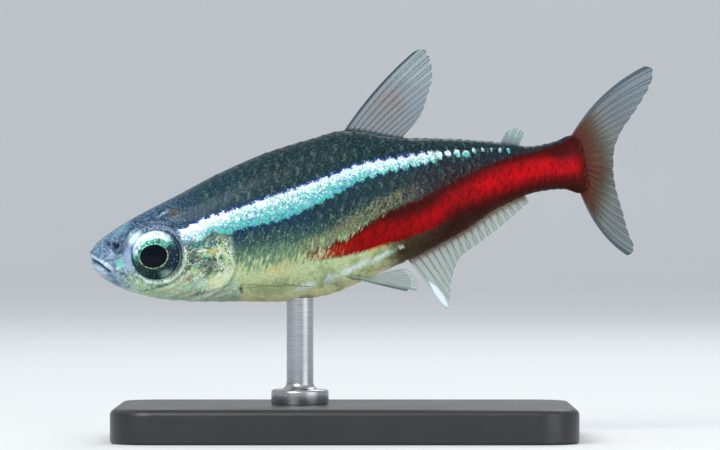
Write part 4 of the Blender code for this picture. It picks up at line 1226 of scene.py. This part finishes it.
def finBow(shape, across, out):
    # sideways swing that grows to the tip and to the leading edge, and the leading edge bowed out by
    # a parabola that fades towards the inner rays
    swing = shape.get("swing", 0.0) * (1 - across) * out ** 1.5
    if "bow" not in shape:
        return np.stack([0 * out, swing, 0 * out], axis=-1)
    bulge, upward, corner = shape["bow"]
    along = np.array(shape["margin"][0]) - corner
    outward = np.array([-along[1], along[0]]) / np.linalg.norm(along) * upward
    swell = bulge * 4 * out * (1 - out) * (1 - across) ** 1.5
    return np.stack([swell * outward[0], swing, swell * outward[1]], axis=-1)


def halfThickness(phase, v):
    # rounded ridges at the rays, forked and jointed, on a membrane that thins towards the margin
    plan = finPlan
    ridge = hump(phase / 0.16)[None, :]
    halves = hump((np.abs(phase) - plan["fork"]) / 0.09)[None, :]
    forked = smooth(*plan["forkAt"], v)
    branched = ridge * (1 - forked) + halves * forked
    knuckles = 1 + 0.18 * np.sin(v * plan["segments"])
    membrane = plan["edge"] + (plan["thickness"] - plan["edge"]) * (1 - v ** 2)
    return membrane + plan["ray"] * branched * knuckles * (1 - 0.75 * v)


def makeFin(shape, side=1, label=""):
    # membrane stretched from its root line to its margin, the margin notched between the rays
    rays, rows = shape["rays"], shape["rows"]
    u = np.linspace(0, 1, rays * finPlan["perRay"] + 1)
    v = np.linspace(0, 1, rows)[:, None]
    phase = (u * rays) % 1.0 - 0.5
    out = v * (1 - finPlan["notch"] * (np.abs(phase) * 2) ** 2)[None, :]
    across = np.broadcast_to(u[None, :], out.shape)
    margin = np.array([(*point, 0.0)[:3] for point in shape["margin"]])[:, [0, 2, 1]]
    start, end = rootLine(shape, u) * (1, side, 1), through(margin * (1, side, 1), u)
    grid = start * (1 - out[..., None]) + end * out[..., None] + finBow(shape, across, out)
    normal = unit(np.cross(np.gradient(grid, axis=0), np.gradient(grid, axis=1)))
    ripple = finPlan["ripple"] * np.sin(across * 21.0 + out * 3.0) * out
    grid = grid + normal * ripple[..., None]
    half = halfThickness(phase, v)[..., None]
    # both faces carry the same values: ray, share of the way out, share across; and the length reached
    reach = np.linalg.norm(end - start, axis=-1) * out
    values = {"finPlace": np.stack([across * rays, out, across], axis=-1),
              "finReach": np.stack([reach, 0 * out, 0 * out], axis=-1)}
    values = {label: np.concatenate([value.reshape(-1, 3)] * 2) for label, value in values.items()}
    points = np.concatenate([place(grid + normal * half).reshape(-1, 3),
                             place(grid - normal * half).reshape(-1, 3)])
    # the flat map holds one face below and the other above, the rim at the front face's edge
    columns = len(u)
    lower = np.meshgrid(np.linspace(0.01, 0.99, columns), np.linspace(0.01, 0.47, rows))
    lower = np.stack(lower, axis=-1).reshape(-1, 2)
    flatMap = np.concatenate([lower, lower + (0, 0.5)])
    faces = shellFaces(rows, columns)
    corners = [flatMap[faces[0]], flatMap[faces[1]], flatMap[faces[2] % (rows * columns)]]
    piece = makeMesh(shape["name"] + label, points, faces, corners, values, sharp=70)
    standFor(piece, membranes[shape["finish"]], shape["node"] + label)


def finShader(name, plan):
    # clear membrane tinted by place, with opaque rays that branch and are cut into segments
    material, tree, shader = newMaterial(name, {"IOR": 1.33, "Specular IOR Level": 0.3, "Coat Weight": 0.12,
                                                "Coat Roughness": 0.12, "Emission Strength": 0.10})
    vector = attribute(tree, "finPlace")
    rayCount, out, across = split(vector)
    away = abs(rayCount.calc("FRACT") - 0.5)
    halves = abs(away - finPlan["fork"]).step(0.11, 0.03)
    ray = addNode(tree, "Mix", {0: out.step(*finPlan["forkAt"]), 2: away.step(0.20, 0.07), 3: halves})
    joints = (out * finPlan["segments"]).calc("SINE").step(-0.9, 0.1)
    cut = ray * (joints * 0.35 + 0.65)
    cloud = noise(vector, 1.6, 4.0, 0.6, stretch=(0.35, 4.0, 1.0))
    reach = split(attribute(tree, "finReach"))[0] / plan["span"]
    colour = colourRamp((cloud - 0.5) * 0.25 + reach, plan["along"])
    if "patch" in plan:
        centreU, centreV, sizeU, sizeV = plan["patchPlace"]
        gap = radiusOf((across - centreU) / sizeU, (out - centreV) / sizeV)
        colour = blend(gap.step(1.2, 0.2) * cloud.step(0.3, 0.6) * 0.8, colour, plan["patch"])
    rooted = reach.step(plan["fleshy"], 0.0)
    colour = blend(cut * (rooted * -0.72 + 0.75), colour, plan["rayColour"])
    # leading streak, pointed at both ends
    start, end = plan["leadEnds"]
    width = out.step(start, start + 0.3) * out.step(end, end - 0.3) * plan["leadWidth"]
    leading = (abs(across - plan["leadWidth"]) - width).step(0.006, -0.010)
    colour = blend(leading, colour, plan["leadColour"])
    alpha = larger(cut * plan["rayAlpha"] + plan["alpha"], leading * 0.85) + rooted * 0.95
    height, roughness = useGroup(tree, wetGrain, Vector=vector, Fine=6.0, Roughness=0.3)
    # the emission makes the leading streak glow faintly: painted light
    feed(shader.inputs, {"Base Color": colour, "Alpha": alpha, "Roughness": roughness,
                         "Emission Color": blend(leading, (0, 0, 0), plan["leadColour"]),
                         "Normal": bumped(cut * 0.8 + height, 0.35)})
    return material


membranes = {name: finShader(name, plan) for name, plan in finFinishes.items()}
for shape in medianFins:
    makeFin(shape)
for side, label in ((-1, "left"), (1, "right")):
    for shape in pairedFins:
        makeFin(shape, side, label)
print("fins made")


# Stand

standPlan = {
    "size": (24.0, 15.0, 1.8),
    "corner": 2.2,
    "edge": 0.35,
    "rodRadius": 0.7,
    "intoBelly": 0.12,     # how far the rod's end stands in the flesh
    "footRadius": 1.5,
    "footHeight": 0.8,
    "footEdge": 0.18,      # radius of the foot's upper edge
    "fillet": 0.35,        # and of the hollow where the rod leaves it
    "black": ((24, 25, 28), (36, 37, 41)),
    "steel": ((150, 153, 158), (196, 198, 202)),
}


def ringsToBody(name, rings):
    # closed body through a stack of rings, each end closed by a fan
    return makeMesh(name, withPoles(rings) * millimetre, ringFaces(*rings.shape[:2]), flip=True, sharp=35)


def makeBase():
    # plate: a rounded rectangle carried up a profile with softened edges
    length, width, height = standPlan["size"]
    corner, edge = standPlan["corner"], standPlan["edge"]
    turn = np.linspace(0, 2 * math.pi, 160, endpoint=False)
    quarter = np.floor(turn / (math.pi / 2)) * (math.pi / 2) + math.pi / 4
    centre = np.stack([np.sign(np.cos(quarter)) * (length / 2 - corner),
                       np.sign(np.sin(quarter)) * (width / 2 - corner)], -1)
    direction = np.stack([np.cos(turn), np.sin(turn)], -1)
    bend = np.linspace(0, math.pi / 2, 7)
    inset = np.concatenate([[3.0, 0.6, 0.12, 0.0], edge * (1 - np.cos(bend)), [0.6, 3.0]])
    level = np.concatenate([[0.0, 0.0, 0.0, 0.12], height - edge + edge * np.sin(bend), [height, height]])
    rings = []
    for inward, z in zip(inset, level):
        shrunk = centre * (1 if inward < corner else (length / 2 - inward) / (length / 2))
        ring = shrunk + direction * max(corner - inward, 0.05)
        rings.append(np.concatenate([ring, np.full((len(turn), 1), z)], axis=1))
    return ringsToBody("standPlate", np.array(rings))


def makeRod():
    # turned rod: a stepped foot, a fillet and a shaft that ends just inside the belly
    plan = standPlan
    foot, wide, slim = plan["size"][2], plan["footRadius"], plan["rodRadius"]
    top = fishPlan["bellyHeight"] + plan["intoBelly"]
    shoulder = foot + plan["footHeight"]
    bend = np.linspace(0, math.pi / 2, 8)
    edge, fillet = plan["footEdge"], plan["fillet"]
    radius = np.concatenate([[1.0, wide - 0.03, wide], wide - edge * (1 - np.cos(bend)), [1.2],
                             slim + fillet * (1 - np.sin(bend)), [slim, slim, 0.4]])
    level = np.concatenate([[foot, foot, foot + 0.05], shoulder - edge + edge * np.sin(bend), [shoulder],
                            shoulder + fillet * (1 - np.cos(bend)), [shoulder + 1.6, top, top]])
    return ringsToBody("standRod", turnedProfile(radius, level, 64) + (fishPlan["rodX"], 0, 0))


def plateShader():
    # satin black, a little uneven in tone and gloss
    material, tree, shader = newMaterial("satinBlack", {"Specular IOR Level": 0.5, "Coat Weight": 0.15,
                                                        "Coat Roughness": 0.3})
    position = addNode(tree, "TexCoord", {}, ("Object",))
    broad, fine = noise(position, 300.0, 4.0, 0.6), noise(position, 6000.0, 3.0, 0.6)
    feed(shader.inputs, {"Base Color": blend(broad, *standPlan["black"]), "Roughness": broad * 0.22 + 0.26,
                         "Normal": bumped(fine, 0.25)})
    return material


def steelShader():
    # steel brushed round and round the rod
    material, tree, shader = newMaterial("brushedSteel", {"Metallic": 1.0})
    position = addNode(tree, "TexCoord", {}, ("Object",))
    turned = noise(position, 1.0, 3.0, 0.6, stretch=(900.0, 900.0, 16000.0))
    feed(shader.inputs, {"Base Color": blend(turned, *standPlan["steel"]), "Roughness": turned * 0.2 + 0.18,
                         "Normal": bumped(turned, 0.1, 0.00001)})
    return material


standFor(makeBase(), plateShader(), "stand_base")
standFor(makeRod(), steelShader(), "stand_rod")
print("stand made")


# Studio: pale sweep, soft lights, the photograph's view

studioPlan = {
    "photoScale": 0.05221,     # millimetres a pixel at the fish
    "photoCentre": (360, 225),
    "photoWidth": 720,
    "rodPixel": (300, 300),    # where the rod meets the belly
    "distance": 250.0,
    "sensor": 36.0,
    "floor": 620.0,
    "curve": 180.0,
    "wall": 420.0,
    "floorTones": ((222, 225, 226), (230, 231, 231)),
    # place, size, power, colour
    "lights": {"keyLight": ((-110, -200, 170), 150, 0.50, (1.0, 0.98, 0.95)),
               "fillLight": ((170, -150, 60), 160, 0.14, (0.95, 0.98, 1.0)),
               "backLight": ((60, 170, 200), 120, 0.16, (1.0, 1.0, 1.0))},
    "lightTarget": (0.0, 0.0, 11.0),
    "roomColour": (0.86, 0.90, 0.95, 1.0),
    "roomStrength": 0.85,
}


def makeSweep():
    # round floor that turns up into a wall, the same from every side
    plan = studioPlan
    floor, curve = plan["floor"], plan["curve"]
    bend = np.linspace(0, math.pi / 2, 16)[1:]
    radius = np.concatenate([np.linspace(0.5, floor, 12), floor + curve * np.sin(bend), [floor + curve]])
    level = np.concatenate([np.zeros(12), curve * (1 - np.cos(bend)), [plan["wall"]]])
    rings = turnedProfile(radius, level, 96)
    points = np.concatenate([rings.reshape(-1, 3), [[0.0, 0.0, 0.0]]]) * millimetre
    sweep = makeMesh("studioSweep", points, ringFaces(*rings.shape[:2])[:2], flip=True)
    material, tree, shader = newMaterial("paleFloor", {"Roughness": 0.85})
    broad = noise(addNode(tree, "TexCoord", {}, ("Object",)), 12.0, 2.0)
    feed(shader.inputs, {"Base Color": blend(broad, *plan["floorTones"])})
    sweep.data.materials.append(material)


def addLight(name, location, size, power, colour):
    # a soft square light turned to the fish
    data = bpy.data.lights.new(name, "AREA")
    data.shape = "SQUARE"
    data.size = size * millimetre
    data.energy = power
    data.color = colour
    lamp = bpy.data.objects.new(name, data)
    bpy.context.scene.collection.objects.link(lamp)
    aim = np.array(studioPlan["lightTarget"]) - np.array(location)
    lamp.location = np.array(location) * millimetre
    lamp.rotation_euler = Vector(aim * millimetre).to_track_quat("-Z", "Y").to_euler()


def makeCamera():
    # square on to the photo's plane, so far off that the fish has the photo's size in the frame
    plan = studioPlan
    scale = plan["photoScale"]
    x = fishPlan["rodX"] + (plan["photoCentre"][0] - plan["rodPixel"][0]) * scale
    z = fishPlan["bellyHeight"] + (plan["rodPixel"][1] - plan["photoCentre"][1]) * scale
    data = bpy.data.cameras.new("photoView")
    data.sensor_width = plan["sensor"]
    data.lens = plan["sensor"] * plan["distance"] / (plan["photoWidth"] * scale)
    data.clip_start = 0.01
    camera = bpy.data.objects.new("photoView", data)
    camera.location = (x * millimetre, -plan["distance"] * millimetre, z * millimetre)
    camera.rotation_euler = (math.pi / 2, 0, 0)
    bpy.context.scene.collection.objects.link(camera)
    bpy.context.scene.camera = camera


makeSweep()
for name, values in studioPlan["lights"].items():
    addLight(name, *values)
world = bpy.data.worlds.new("softRoom")
world.use_nodes = True
background = world.node_tree.nodes["Background"].inputs
background["Color"].default_value = studioPlan["roomColour"]
background["Strength"].default_value = studioPlan["roomStrength"]
bpy.context.scene.world = world
bpy.context.scene.view_settings.view_transform = "Standard"
makeCamera()
print("studio made")
